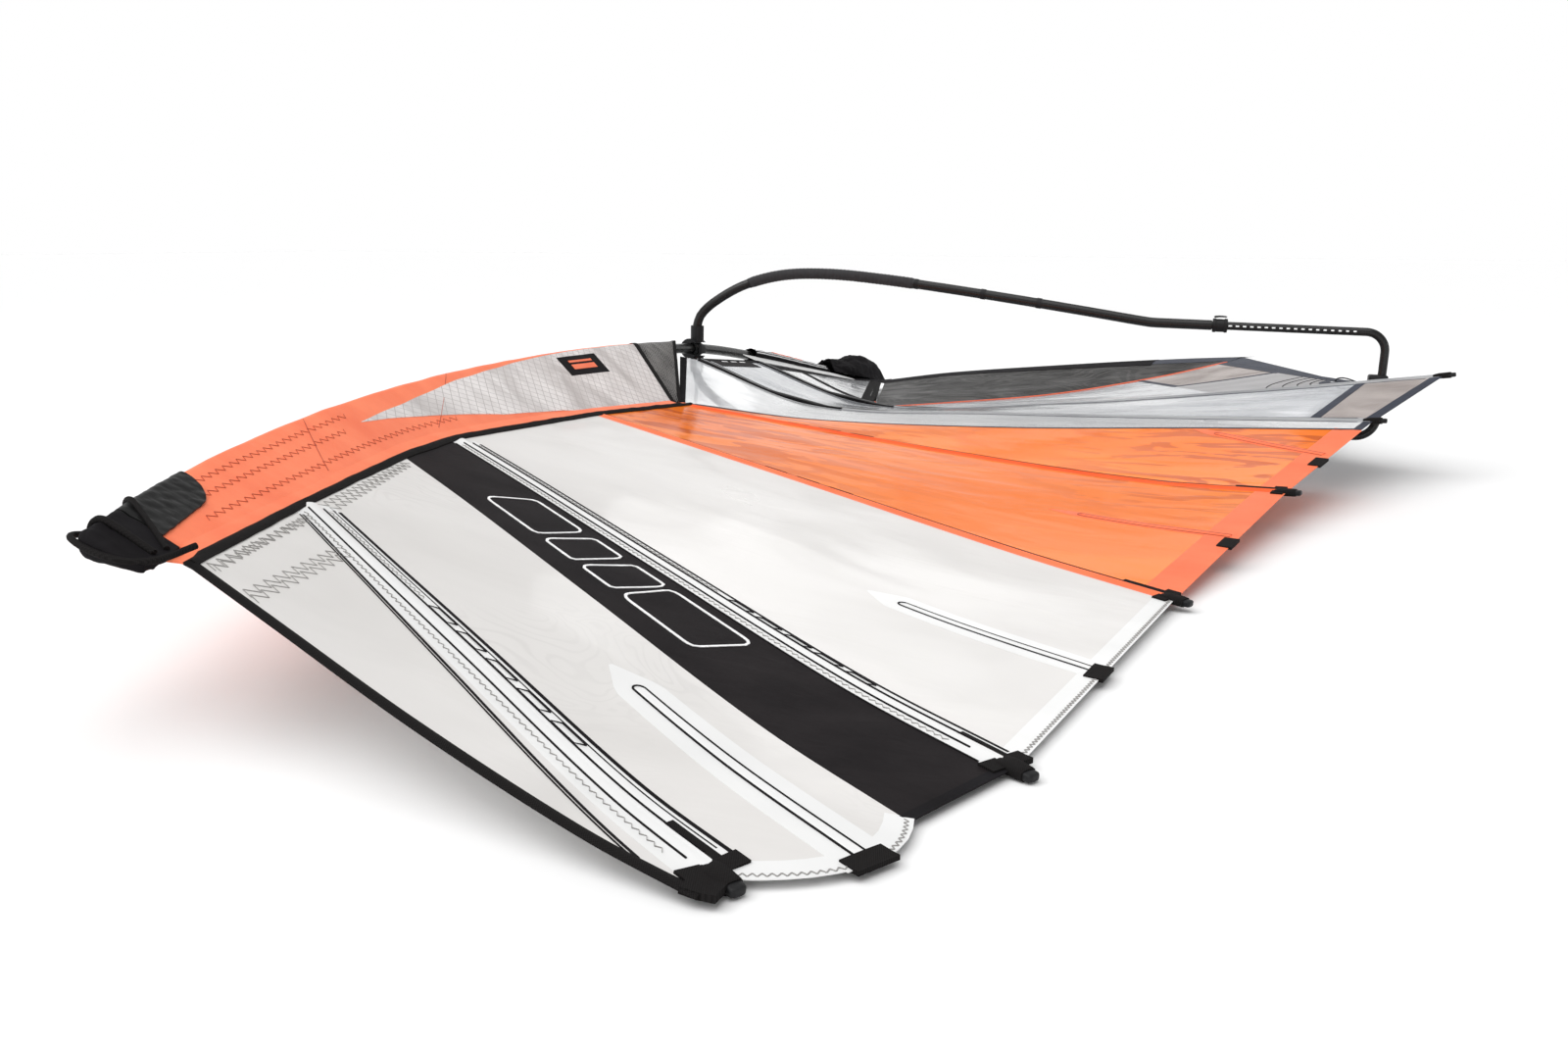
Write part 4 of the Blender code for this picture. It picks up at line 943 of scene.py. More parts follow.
def lower_sleeve(y, t, out=0.0):
    """Point on the lower sleeve, at an angle round the mast."""
    fold = 1.0 + 0.07 * noise.noise(Vector((math.cos(t) * 1.6, y * 26.0, math.sin(t) * 1.6)))
    radius = (SLEEVE_R * (1.0 + 0.5 * max(math.cos(t), 0.0)) + out) * fold
    return mast_point(y) + Vector((radius * math.cos(t), 0.0, radius * math.sin(t)))


walls = [[[lower_sleeve(-1.10 + 0.63 * i / 60, t, out) for t in full_turn(36)] for i in range(61)]
         for out in (0.0, -CLOTH_THICK)]
Skin().rings(walls[0] + walls[1][::-1], closed=True).build("tack_sleeve", "black_cloth", replaces=("lower_sleeve",))
piping = Skin()
for turn in (0.35, 0.62):
    piping.rod([lower_sleeve(-1.095 + 0.0208 * i, turn, 0.0008) for i in range(30)], 0.0020, 8)
piping.build("tack_sleeve_piping", "white_ink")
stripe = [[list(lower_sleeve(-0.93 + 0.014 * i, t, 0.0010)) for t in (0.80, 0.95, 1.10, 1.25)] for i in range(18)]
Skin().shell(stripe, 0.0016).build("tack_sleeve_stripe", "red_band")

# White cloth that joins the lower sleeve to the sail.
pairs = []
for i in range(41):
    edge = on_panel("tack_panel", 0.0, i / 40)
    beside = mast_point(edge.y) + Vector((0.030 + 0.022 * min(max((edge.y + 0.75) / 0.30, 0.0), 1.0), 0.0, -0.004))
    pairs.append((beside, edge + Vector((0.010, 0.0, 0.0))))
Skin().shell(bridge(pairs, 5), 0.0016).build("luff_gusset", "milky_film")

# ---------------------------------------------------------------- head cap
CAP_RIM = SLEEVE_TOP - 0.004
CAP_FLOOR = -LUFF_LENGTH + 0.008


CAP_SPARE = 0.003


def padded(p, size=0.0022):
    """Quilting: small lumps on the cap's outside."""
    lump = abs(math.sin(p.x * 120.0) * math.sin(p.y * 120.0 + p.z * 60.0)) ** 0.5
    return size * (lump - 0.4) + size * noise.noise(p * 60.0)


def cap_ring(y, share=1.0, reach=0.0):
    points = sleeve_outline(y, y, CAP_SPARE)
    middle = sum(points, Vector()) / len(points)
    ring = []
    for p in points:
        moved = middle + (p - middle) * share - Vector((0.0, reach, 0.0))
        ring.append(moved + (p - middle).normalized() * padded(p))
    return ring


cap = [cap_ring(CAP_RIM + (CAP_FLOOR - CAP_RIM) * i / 12) for i in range(13)]
for share, reach in ((0.985, 0.003), (0.94, 0.006), (0.84, 0.009), (0.66, 0.012), (0.40, 0.014), (0.12, 0.015)):
    cap.append(cap_ring(CAP_FLOOR, share, reach))
hollow = [sleeve_outline(y, y, 0.0012) for y in (CAP_RIM, (CAP_RIM + CAP_FLOOR) / 2, CAP_FLOOR)]
Skin().rings(cap[::-1] + hollow).build("head_cap_padded", "black_cloth", replaces=("head_cap",))


def cap_edge(reach):
    """Share of the outline where the cap's tab starts, round at its end."""
    s = min(max((reach - 3.925) / 0.075, 0.0), 1.0)
    return 0.42 - 0.24 * math.sqrt(max(1.0 - (1.0 - s) ** 2, 0.0)) - 0.06 * min(max((reach - 4.0) / 0.13, 0.0), 1.0)


tab = []
for i in range(61):
    y = -3.926 - (4.132 - 3.926) * (i / 60) ** 1.3
    outline = sleeve_outline(y, y, spare=0.0022)
    start = cap_edge(-y)
    row = []
    for j in range(49):
        p = along_outline(outline, start + (1.0 - 2.0 * start) * j / 48)
        row.append(p + Vector((0.0, 0.0, padded(p, 0.0012) * (1.0 if j < 24 else -1.0))))
    tab.append([list(p) for p in row])
Skin().shell(tab, 0.0028).build("head_cap_tab", "rubber")

loop = []
middle = (sleeve_back(-4.16) + mast_point(-4.16)) / 2 + Vector((0.012, 0.0, 0.0))
for i in range(31):
    t = math.pi * (1.0 - i / 30)
    loop.append(middle + Vector((-0.088 * math.cos(t), -0.080 * abs(math.sin(t)) ** 0.7,
                                 0.010 * math.sin(2 * t) + 0.006)))
Skin().rod(loop, 0.0046, 10).build("head_loop", "webbing")
slanted = []
for i in range(41):
    t = i / 40
    y = -4.075 - 0.085 * t
    slanted.append(along_outline(sleeve_outline(y, y, spare=0.0064), 0.52 - 0.50 * t))
outline = sleeve_outline(-4.188, -4.188, spare=0.0070)
around = [along_outline(outline, 0.03 + 0.94 * i / 60) for i in range(61)]
Skin().rod(slanted, 0.0042, 10).rod(around, 0.0052, 10).build("head_straps", "webbing")

# ---------------------------------------------------------------- edges of the sail
strips("head_binding", "webbing", (seam_path("head", -0.01, 0.988, 60), 0.017, 0.0), shift=0.004, profile=(
    (-1.0, 0.0030), (-0.5, 0.0058), (0.0, 0.0066), (0.5, 0.0050), (1.0, 0.0020)))


def leech_line(panel, inset, start=0.0, end=1.0, count=16):
    """Line along a panel's leech, moved in from it."""
    point = PANELS[panel][0]
    line = []
    for i in range(count + 1):
        v = start + (end - start) * i / count
        tip, behind = point(1.0, v), point(0.985, v)
        line.append(tip + (behind - tip).normalized() * inset)
    return line


FILM_TAPE = 0.034
strips("leech_tape_white", "milky_film", (leech_line("upper_film_panel", FILM_TAPE / 2), FILM_TAPE, 0.0013),
       (leech_line("middle_film_panel", FILM_TAPE / 2), FILM_TAPE, 0.0013),
       (leech_line("head_panel", 0.010), 0.020, 0.0013), step=0.025)
strips("leech_tape_salmon", "salmon_band", (leech_line("orange_panel_upper", 0.032), 0.066, 0.0013),
       (leech_line("orange_panel_lower", 0.032), 0.066, 0.0013), step=0.025)
strips("leech_tape_black", "black_cloth", (leech_line("stripe_panel", 0.008), 0.016, 0.0016), step=0.025)
strips("leech_tape_slate", "slate_cloth", (leech_line("leech_scrim_panel", 0.012), 0.026, 0.0022, {"step": 0.025}),
       (leech_line("front_window_panel", 0.010), 0.020, 0.0018),
       ([seam_point("batten_5", SCRIM_SPAN), seam_point("batten_6", CLEW_SPAN)], 0.024, 0.0022))

threads = Skin()
for panel in ("upper_film_panel", "middle_film_panel"):
    lay_zigzag(threads, SAIL, leech_line(panel, 0.005), 0.010, 0.006, 0.0009, 0.0034)
luff_row = [on_panel("head_panel", 0.012, v) + Vector((0.02, 0.0, 0.0)) for v in (0.06, 0.5, 0.97)]
lay_zigzag(threads, SAIL, luff_row, 0.022, 0.015, 0.0006, 0.0030)
for panel, start, end, top, pitch, height in (
        ("head_panel", 0.030, 0.045, 0.05, 0.026, 0.018), ("head_panel", 0.120, 0.155, 0.05, 0.026, 0.018),
        ("head_panel", 0.138, 0.175, 0.05, 0.026, 0.018), ("upper_film_panel", 0.030, 0.020, 0.03, 0.024, 0.015),
        ("upper_film_panel", 0.055, 0.030, 0.03, 0.024, 0.015)):
    row = [on_panel(panel, start, top), on_panel(panel, end, 0.95)]
    lay_zigzag(threads, SAIL, row, pitch, height, 0.0006, 0.0030)
threads.build("panel_stitches", "pale_thread")

# ---------------------------------------------------------------- batten pockets
POCKET = ((-1.0, 0.0010), (-0.80, 0.0014), (-0.30, 0.0050), (-0.17, 0.0094), (0.0, 0.0112), (0.17, 0.0094),
          (0.30, 0.0050), (0.80, 0.0014), (1.0, 0.0010))


def pocket_line(skin, number, shift, width, start, end, thickness=0.0026, fan=0.0):
    """Line beside a batten; fan moves it further out towards the leech."""
    path = []
    seam = seam_path("batten_%d" % number, start, end, 40)
    for i, (point, step) in enumerate(zip(seam, side_steps([Vector((p.x, p.y)) for p in seam]))):
        away = shift + fan * i / 40
        path.append((point.x + step.x * away, point.y + step.y * away))
    lay_band(skin, SAIL, path, width, thickness, step=0.02)
    return path


for number, look, width, start in ((1, "milky_film", 0.074, 0.012), (2, "milky_film", 0.056, 0.012),
                                   (3, "salmon_band", 0.036, 0.012), (4, "red_band", 0.032, 0.012),
                                   (5, "clear_film", 0.040, 0.006), (6, "clear_film", 0.040, 0.006)):
    path = seam_path("batten_%d" % number, start, 0.990, 40)
    strips("pocket_%d" % number, look, (path, width, 0.0), profile=POCKET)

lines = Skin()
for number, shift, *line in (
        (1, 0.036, 0.0050, 0.035, 0.97), (1, 0.012, 0.0022, 0.030, 0.95, 0.0078),
        (1, 0.028, 0.0018, 0.030, 0.95), (1, -0.012, 0.0022, 0.030, 0.95, 0.0078),
        (1, -0.032, 0.0034, 0.06, 0.93, 0.0026, -0.024), (1, -0.037, 0.0018, 0.06, 0.92, 0.0026, -0.024),
        (2, 0.027, 0.0040, 0.03, 0.97), (2, 0.010, 0.0018, 0.03, 0.95, 0.0086),
        (2, -0.010, 0.0018, 0.03, 0.95, 0.0086), (2, -0.027, 0.0026, 0.03, 0.97),
        (3, 0.014, 0.0020, 0.03, 0.93, 0.0040), (4, 0.013, 0.0016, 0.03, 0.93, 0.0040),
        (5, -0.0095, 0.0135, 0.004, 0.25, 0.0104), (5, 0.0095, 0.0135, 0.004, 0.25, 0.0104),
        (6, -0.0095, 0.0135, 0.004, 0.24, 0.0104), (6, 0.0095, 0.0135, 0.004, 0.24, 0.0104)):
    pocket_line(lines, number, shift, *line)
lines.build("pocket_lines", "ink")

grey = Skin()
for number in (5, 6):
    for shift in (-0.018, 0.018):
        pocket_line(grey, number, shift, 0.0030, 0.24, 0.975, 0.0024)
lay_band(grey, SAIL, seam_path("window", 0.0, 0.992, 50), 0.012, 0.0020)
grey.build("window_seams", "slate_cloth")


def dashes(skin, number, shift, places, length, height, width=0.0013, thickness=0.0040):
    """Row of plain outlined dashes along a pocket."""
    for place in places:
        a, b = seam_point("batten_%d" % number, place), seam_point("batten_%d" % number, place + length)
        along = Vector((b.x - a.x, b.y - a.y)).normalized()
        left = Vector((-along.y, along.x))
        a2, b2 = Vector((a.x, a.y)) + left * shift, Vector((b.x, b.y)) + left * shift
        lean = along * height
        corners = (a2, b2, b2 + left * height + lean, a2 + left * height + lean, a2)
        for p, q in zip(corners, corners[1:]):
            lay_band(skin, SAIL, [p, q], width, thickness, step=0.02)


marks = Skin()
dashes(marks, 1, 0.0145, [0.36 + 0.075 * i for i in range(5)], 0.050, 0.0105, 0.0010, 0.0058)
dashes(marks, 2, 0.0120, [0.60 + 0.045 * i for i in range(5)], 0.030, 0.0100, 0.0010, 0.0058)
dashes(marks, 3, 0.0060, [0.36 + 0.06 * i for i in range(3)], 0.04, 0.005, 0.0010, 0.0080)
dashes(marks, 4, 0.0060, [0.20 + 0.06 * i for i in range(3)], 0.04, 0.005, 0.0010, 0.0080)
marks.build("pocket_marks", "ink")

rows_of_thread = Skin()
for number, shift, start, end in ((1, 0.020, 0.04, 0.34), (1, -0.024, 0.05, 0.93), (2, 0.018, 0.04, 0.58),
                                  (2, -0.018, 0.04, 0.93)):
    path = pocket_line(Skin(), number, shift, 0.001, start, end)
    lay_zigzag(rows_of_thread, SAIL, path, 0.014, 0.005, 0.0005, 0.0056)
rows_of_thread.build("pocket_stitches", "pale_thread")

strips("pocket_tabs", "webbing", *(
    (seam_path("batten_%d" % number, start, end, 8), width, 0.0060, {"shift": shift})
    for number, start, end, width, shift in ((1, 0.885, 0.965, 0.016, 0.014), (2, 0.925, 0.980, 0.016, 0.010),
                                             (3, 0.925, 0.985, 0.013, 0.014), (4, 0.925, 0.985, 0.012, 0.013))))

# Plain slanted bars, outlined, on the dark stripe.
motif = Skin()
BARS = ((0.200, 0.335, 0.14), (0.352, 0.420, 0.04), (0.437, 0.505, 0.04), (0.522, 0.657, -0.06))
for start, end, lean in BARS:
    corners = [Vector(c) for c in ((start, 0.26), (end, 0.26), (end + 0.035, 0.74), (start + 0.035 + lean / 8, 0.74))]
    outline = []
    for i, corner in enumerate(corners):
        before, after = [corner + Vector(((q.x - corner.x) * 0.12, (q.y - corner.y) * 0.16))
                         for q in (corners[i - 1], corners[(i + 1) % 4])]
        for k in range(5):
            t = k / 4
            outline.append(on_panel("stripe_panel", *before.lerp(corner, t).lerp(corner.lerp(after, t), t)))
    lay_band(motif, SAIL, outline + outline[:2], 0.0048, 0.0026, step=0.010)
motif.build("stripe_motif", "white_ink")

# ---------------------------------------------------------------- mini battens
NOSE_R = 0.0085
MINIS = (((1.21, -3.94), (1.62, -4.165), "milky_film"), ((1.37, -3.35), (1.715, -3.455), "milky_film"),
         ((1.50, -2.56), (1.81, -2.60), "salmon_band"), ((1.69, -1.81), (1.95, -1.94), "salmon_band"))
for index, (start, end, look) in enumerate(MINIS):
    name = "mini_batten_%d" % (index + 1)
    band_width, edge_width, edge_look = ((0.070, 0.0030, "ink") if look == "milky_film" else
                                         (0.034, 0.0018, "dark_thread"))
    start, end = spot(*start), spot(*end)
    along = (end - start).normalized()
    left = Vector((-along.y, along.x))
    strips(name + "_band", look, ([start - along * 0.075, end], band_width, 0.0013),
           taper=lambda f: min(0.08 + f * 7.0, 1.0))
    strips(name, look, ([start, end], 2 * NOSE_R, 0.0), profile=(
        (-1.0, 0.0020), (-0.6, 0.0038), (0.0, 0.0056), (0.6, 0.0038), (1.0, 0.0020)))
    turns = [math.pi * i / 8 for i in range(9)]
    nose = [start + left * NOSE_R * math.cos(t) - along * 0.010 * math.sin(t) for t in turns]
    outline = Skin()
    for path, settings in (([start, end], {"shift": -NOSE_R}), ([start, end], {"shift": NOSE_R}),
                           (nose, {"step": 0.004})):
        lay_band(outline, SAIL, path, edge_width, 0.0034, **settings)
    outline.build(name + "_outline", edge_look, slot="black_cloth")

# Webbing that wraps the leech at each batten's end.
wraps = []
for panel, v in (("upper_film_panel", 0.56), ("middle_film_panel", 0.46), ("orange_panel_upper", 0.455),
                 ("orange_panel_lower", 0.44)):
    line = leech_line(panel, 0.008, v - 0.06, v + 0.06, 4)
    reach = (line[-1] - line[0]).normalized() * 0.030
    wraps.append(([line[2] - reach, line[2] + reach], 0.030, 0.0060, {"step": 0.010}))
for number, reach in ((1, 0.040), (2, 0.036), (3, 0.030), (4, 0.027)):
    tip = seam_point("batten_%d" % number, 0.994)
    along = (tip - seam_point("batten_%d" % number, 0.96)).normalized()
    left = Vector((-along.y, along.x, 0.0)).normalized()
    middle = tip - along * 0.018
    wraps.append(([middle - left * reach, middle + left * reach], 0.026, 0.0075, {"step": 0.008}))
wraps.append(([seam_point("head", 0.985), seam_point("batten_1", 0.985)], 0.040, 0.0086, {"step": 0.010}))
strips("leech_webbing", "webbing", *wraps)

# ---------------------------------------------------------------- the foot of the sail
strips("foot_piping", "red_band", (seam_path("piping", 0.0, 0.99, 50), 0.012, 0.0034))
strips("foot_hem", "black_cloth", (seam_path("foot", 0.0, 0.78, 50), 0.105, 0.0), step=0.012, shift=-0.006,
       profile=[(k / 6, 0.0036) for k in range(-6, 7)])
strips("foot_tapes", "slate_cloth",
       (seam_path("foot", 0.78, 0.985, 20), 0.085, 0.0022, {"shift": -0.002}),
       (down_panel("foot_scrim_panel", 0.985, 12), 0.030, 0.0024),
       (down_panel("foot_mesh_panel", 0.975, 6), 0.050, 0.0026),
       (down_panel("clew_patch", 0.975, 6), 0.034, 0.0026),
       (down_panel("foot_mesh_panel", 0.015, 6), 0.018, 0.0024),
       ([on_panel("foot_mesh_panel", u / 8, 0.02) for u in range(9)], 0.016, 0.0026))
pairs = []
for i in range(17):
    t = 0.97 * i / 16
    pairs.append((on_panel("foot_mesh_panel", 0.985, 1.0).lerp(on_panel("clew_patch", 0.985, 0.35), t),
                  on_panel("foot_band", 0.995, 0.3).lerp(on_panel("clew_patch", 0.995, 0.35), t)))
Skin().shell(bridge(pairs, 6), 0.0022).build("foot_corner", "slate_cloth")

strips("tack_tape", "webbing", (down_panel("tack_panel", 1.0, 14), 0.046, 0.0034, {"shift": 0.004}),
       ([on_panel("tack_panel", 0.02, 0.34), on_panel("tack_panel", 0.97, 0.10)], 0.027, 0.0040))
strips("luff_edge_tape", "black_cloth", (down_panel("tack_panel", 0.10, 10), 0.050, 0.0022),
       (down_panel("window_panel", 0.004, 14), 0.026, 0.0030))

# Film and tape between the sleeve's cut-out and the front window.
CUTOUT_CORNERS = (Vector((0.148, -1.968, 0.1445)), Vector((-0.020, -1.652, 0.250)))
TAPE_LIFT = (0.0, 0.0, 0.0012)
pairs = []
for i in range(25):
    t = 0.015 + 0.97 * i / 24
    pairs.append((CUTOUT_CORNERS[0].lerp(CUTOUT_CORNERS[1], t), on_panel("front_window_panel", 0.006, t)))
film = np.asarray(bridge(pairs, 6))
Skin().shell(film, 0.0010).build("cutout_infill", "clear_film")
Skin().shell(film[:, :3] + TAPE_LIFT, 0.0020).build("cutout_tape", "black_cloth")

strips("luff_patch", "black_panel", (down_panel("window_panel", 0.018, 1, 0.14, 0.80), 0.055, 0.0030))
strips("luff_patch_marks", "white_ink", *((down_panel("window_panel", 0.012, 1, v, v + 0.09), 0.006, 0.0040)
                                          for v in (0.30, 0.45, 0.60)))

# Reinforcement round the clew ring, in steps, with rows of stitching.
CLEW = Vector((1.944 + SHIFT.x, -1.188 + SHIFT.y))


CLEW_CLOTH = Surface([GRIDS["clew_patch"]])


def clew_line(radius, start, end):
    """The part of an arc about the clew that lies on its patch."""
    line = []
    for i in range(61):
        t = math.radians(start + (end - start) * i / 60)
        p = CLEW + Vector((math.cos(t), math.sin(t))) * radius
        if CLEW_CLOTH.tree.ray_cast(Vector((p.x, p.y, 2.0)), Vector((0.0, 0.0, -1.0)))[0]:
            line.append(p)
    return line


strips("clew_arcs", "ink", *((clew_line(radius, 95, 290)[1:-1], 0.0030, 0.0030)
                             for radius in (0.070, 0.105, 0.145, 0.190)), step=0.012)
strips("clew_pad", "slate_cloth", *((clew_line(radius, 60, 420), 0.0145, 0.0030)
                                    for radius in (0.026, 0.040)), step=0.006)

# ---------------------------------------------------------------- spars
SIDE = BOOM_AXES.to_3x3() @ Vector((0.0, 1.0, 0.0))
ACROSS = Vector((1.0, 0.0, 0.0))


def stretch(start, end, steps):
    return [start + (end - start) * i / steps for i in range(steps + 1)]


def mast_piece(name, node, ys, extra=(), wall=0.0025):
    path = [mast_point(y) for y in ys]
    outer = [mast_radius(y) for y in ys]
    inner = [radius - wall for radius in outer]
    for point, out_r, in_r in reversed(extra):
        path.insert(0, point)
        outer.insert(0, out_r)
        inner.insert(0, in_r)
    Skin().tube(path, outer, inner, 36, ACROSS).build(name, "carbon", replaces=(node,))


bottom_y = on_foot(0.0, 0.144, 0.0).y
mast_piece("mast_lower", "mast_bottom", stretch(bottom_y, MAST_JOINT_Y + 0.0005, 60))
plug = mast_radius(MAST_JOINT_Y) - 0.0034
joint = MAST_JOINT_Y - 0.0005
spigot = [(mast_point(MAST_JOINT_Y + offset), plug, plug - 0.003) for offset in (0.12, 0.06, 0.0)]
spigot.append((mast_point(joint + 0.0001), plug, plug - 0.003))
mast_piece("mast_upper", "mast_top", stretch(joint, -LUFF_LENGTH + 0.02, 70), spigot)


def arm_path(steps=80):
    knots = []
    travel = 0.0
    for i, point in enumerate(ARM_OUTLINE):
        if i:
            travel += math.dist(point, ARM_OUTLINE[i - 1])
        knots.append(travel)
    along = tuple(zip(knots, (point[0] for point in ARM_OUTLINE)))
    out = tuple(zip(knots, (point[1] for point in ARM_OUTLINE)))
    path = [(smooth(along, travel * i / steps), smooth(out, travel * i / steps)) for i in range(steps)]
    return path + [ARM_OUTLINE[-1], (BOOM_COLLAR_A - 0.022, BOOM_REAR)]


GRIP = (0.19, 0.72)
GRIP_R = 0.01665
CUFF_R = 0.0158
for sign, name in ((1, "upper"), (-1, "lower")):
    path = [on_boom(a, 0.0, sign * h) for a, h in arm_path()]
    Skin().tube(path, BOOM_TUBE_R, BOOM_TUBE_R - 0.002, 32, SIDE).build(
        "boom_tube_" + name, "carbon", replaces=("boom_arm_" + name,))
    grip_path = [on_boom(a, 0.0, sign * h) for a, h in arm_path(520) if GRIP[0] < a < GRIP[1]]
    ribs = [GRIP_R + (0.0004 if i % 4 < 2 else -0.0001) for i in range(len(grip_path))]
    ribs[0] = ribs[1] = ribs[-1] = ribs[-2] = 0.0160
    Skin().tube(grip_path, ribs, BOOM_TUBE_R + 0.0002, 32, SIDE).build(
        "grip_" + name, "grip", replaces=("boom_grip_" + name,), sharp=60)
    cuffs = Skin()
    for a in (GRIP[0] - 0.004, GRIP[1] + 0.002, 0.93, 1.10):
        near = [on_boom(b, 0.0, sign * h) for b, h in arm_path(520) if a - 0.004 < b < a + 0.012]
        cuffs.tube(near, CUFF_R, BOOM_TUBE_R + 0.0001, 32, SIDE)
    cuffs.build("boom_cuffs_" + name, "plastic")


def carved(skin, name, look, body, cutters=(), bevel=None, replaces=(), slot=None, sharp=35):
    """A solid with cutters taken out of it and its edges rounded, all applied."""
    obj = linked(name, skin.mesh(name))
    helpers = []
    if bevel:
        modifier = obj.modifiers.new("round", "BEVEL")
        modifier.width = bevel
        modifier.segments = 3
        modifier.limit_method = "ANGLE"
    for cutter in cutters:
        helper = linked("helper", cutter.mesh("helper"))
        helpers.append(helper)
        modifier = obj.modifiers.new("cut", "BOOLEAN")
        modifier.object = helper
        modifier.operation = "DIFFERENCE"
        modifier.solver = "EXACT"
    bpy.context.view_layer.update()
    final = bpy.data.meshes.new_from_object(obj.evaluated_get(bpy.context.evaluated_depsgraph_get()))
    obj.modifiers.clear()
    obj.data = final
    for helper in helpers:
        bpy.data.objects.remove(helper)
    final.shade_smooth()
    final.set_sharp_from_angle(angle=math.radians(sharp))
    final.materials.clear()
    return register(obj, look, body, replaces, slot)


def box(axes, place, size):
    """Box in some axes, as a skin."""
    corners = [[axes @ (Vector(place) + Vector((x * size[0] / 2, y * size[1] / 2, z * size[2] / 2)))
                for x, y in ((-1, -1), (1, -1), (1, 1), (-1, 1))] for z in (-1, 1)]
    return Skin().rings(corners)


def cylinder(axes, start, end, radius, sides=32):
    path = [axes @ Vector(start), axes @ Vector(end)]
    guide = UP if abs((path[1] - path[0]).normalized().z) < 0.9 else ACROSS
    return Skin().rod(path, radius, sides, guide)


# ---------------------------------------------------------------- boom tail
corner_a = TAIL_END_A - TAIL_CORNER_R
corner_h = BOOM_REAR - TAIL_CORNER_R
leg = [(1.462 + (corner_a - 1.462) * i / 24, BOOM_REAR) for i in range(25)]
bend = [(corner_a + TAIL_CORNER_R * math.cos(math.radians(90 - 7.5 * i)),
         corner_h + TAIL_CORNER_R * math.sin(math.radians(90 - 7.5 * i))) for i in range(1, 13)]
half = leg + bend
outline = half + [(a, -h) for a, h in reversed(half)]
tail = Skin().tube([on_boom(a, 0.0, h) for a, h in outline], TAIL_R, TAIL_R - 0.0016, 28, SIDE)
slots = Skin()
for sign in (1, -1):
    for i in range(TAIL_HOLES):
        place = (BOOM_COLLAR_A + 0.030 + TAIL_HOLE_PITCH * i, 0.0, sign * BOOM_REAR)
        hole = box(BOOM_AXES, place, (0.011, 0.06, 0.0052))
        slots.add(hole.verts[0], hole.faces)
carved(tail, "boom_tail_tube", "carbon", "boom_tail", (slots,), replaces=("boom_tail",))

for sign, name in ((1, "upper"), (-1, "lower")):
    ends = [BOOM_COLLAR_A + offset for offset in (-0.020, -0.019, -0.012, -0.010, 0.012, 0.014, 0.021, 0.022)]
    outer = [0.0185, 0.0200, 0.0205, 0.0188, 0.0188, 0.0205, 0.0200, 0.0185]
    Skin().tube([on_boom(a, 0.0, sign * BOOM_REAR) for a in ends], outer, TAIL_R + 0.0008, 40, SIDE).build(
        "collar_" + name, "plastic", replaces=("tail_collar_" + name,))
    lever = Skin()
    section = []
    for i in range(13):
        f = i / 12
        thick = 0.0032 - 0.0012 * f
        rise = 0.0245 + 0.0012 * math.sin(math.pi * f) + 0.0012 * f
        wide = 0.0085 - 0.0020 * f ** 2
        middle = Vector((BOOM_COLLAR_A - 0.017 + 0.036 * f, 0.0, sign * (BOOM_REAR + rise)))
        if i in (0, 12):
            thick *= 0.55
            wide *= 0.8
        section.append([BOOM_AXES @ (middle + Vector((0.0, wide * c, thick * s))) for c, s in oval(0.45, 24)])
    lever.rings(section)
    lever.build("cam_lever_" + name, "plastic", "tail_lever_" + name, ("tail_lever_" + name,))

roller_a = TAIL_END_A - 0.027
fitting = box(BOOM_AXES, (TAIL_END_A - 0.010, 0.0, 0.0), (0.052, 0.040, 0.060))
carved(fitting, "tail_end_fitting", "plastic", "boom_tail", (
    cylinder(BOOM_AXES, (TAIL_END_A, 0.0, -0.1), (TAIL_END_A, 0.0, 0.1), TAIL_R + 0.0004),
    box(BOOM_AXES, (roller_a - 0.010, 0.0, 0.0), (0.040, 0.060, 0.0200)),
    cylinder(BOOM_AXES, (roller_a, 0.0, -0.1), (roller_a, 0.0, 0.1), 0.0033)),
    0.006, ("tail_fitting",))
cylinder(BOOM_AXES, (roller_a, 0.0, -0.029), (roller_a, 0.0, 0.029), PIN_R).build(
    "roller_pin", "steel", "boom_tail", ("outhaul_roller_pin",))


def wheel(name, axes, place, direction, radius, width, bore, body, node):
    """Grooved wheel about a direction."""
    out = Vector(direction)
    shape = [(bore, -width / 2), (radius - 0.0010, -width / 2), (radius, -width / 2 + 0.0010)]
    shape += [(radius - 0.0036 * math.sin(math.pi * i / 10), -width / 2 + 0.0012 + (width - 0.0024) * i / 10)
              for i in range(11)]
    shape += [(radius, width / 2 - 0.0010), (radius - 0.0010, width / 2), (bore, width / 2)]
    path = [axes @ (Vector(place) + out * z) for _, z in shape]
    axis = (axes.to_3x3() @ out).normalized()
    across = axis.orthogonal().normalized()
    up = axis.cross(across)
    rings = [[p + (across * math.cos(t) + up * math.sin(t)) * r for t in full_turn(36)]
             for p, (r, _) in zip(path, shape)]
    Skin().rings(rings, closed=True).build(name, "plastic", body, (node,))


wheel("roller", BOOM_AXES, (roller_a, 0.0, 0.0), (0, 0, 1), ROLLER_R, 0.0170, WHEEL_BORE_R,
      "outhaul_roller", "outhaul_roller")

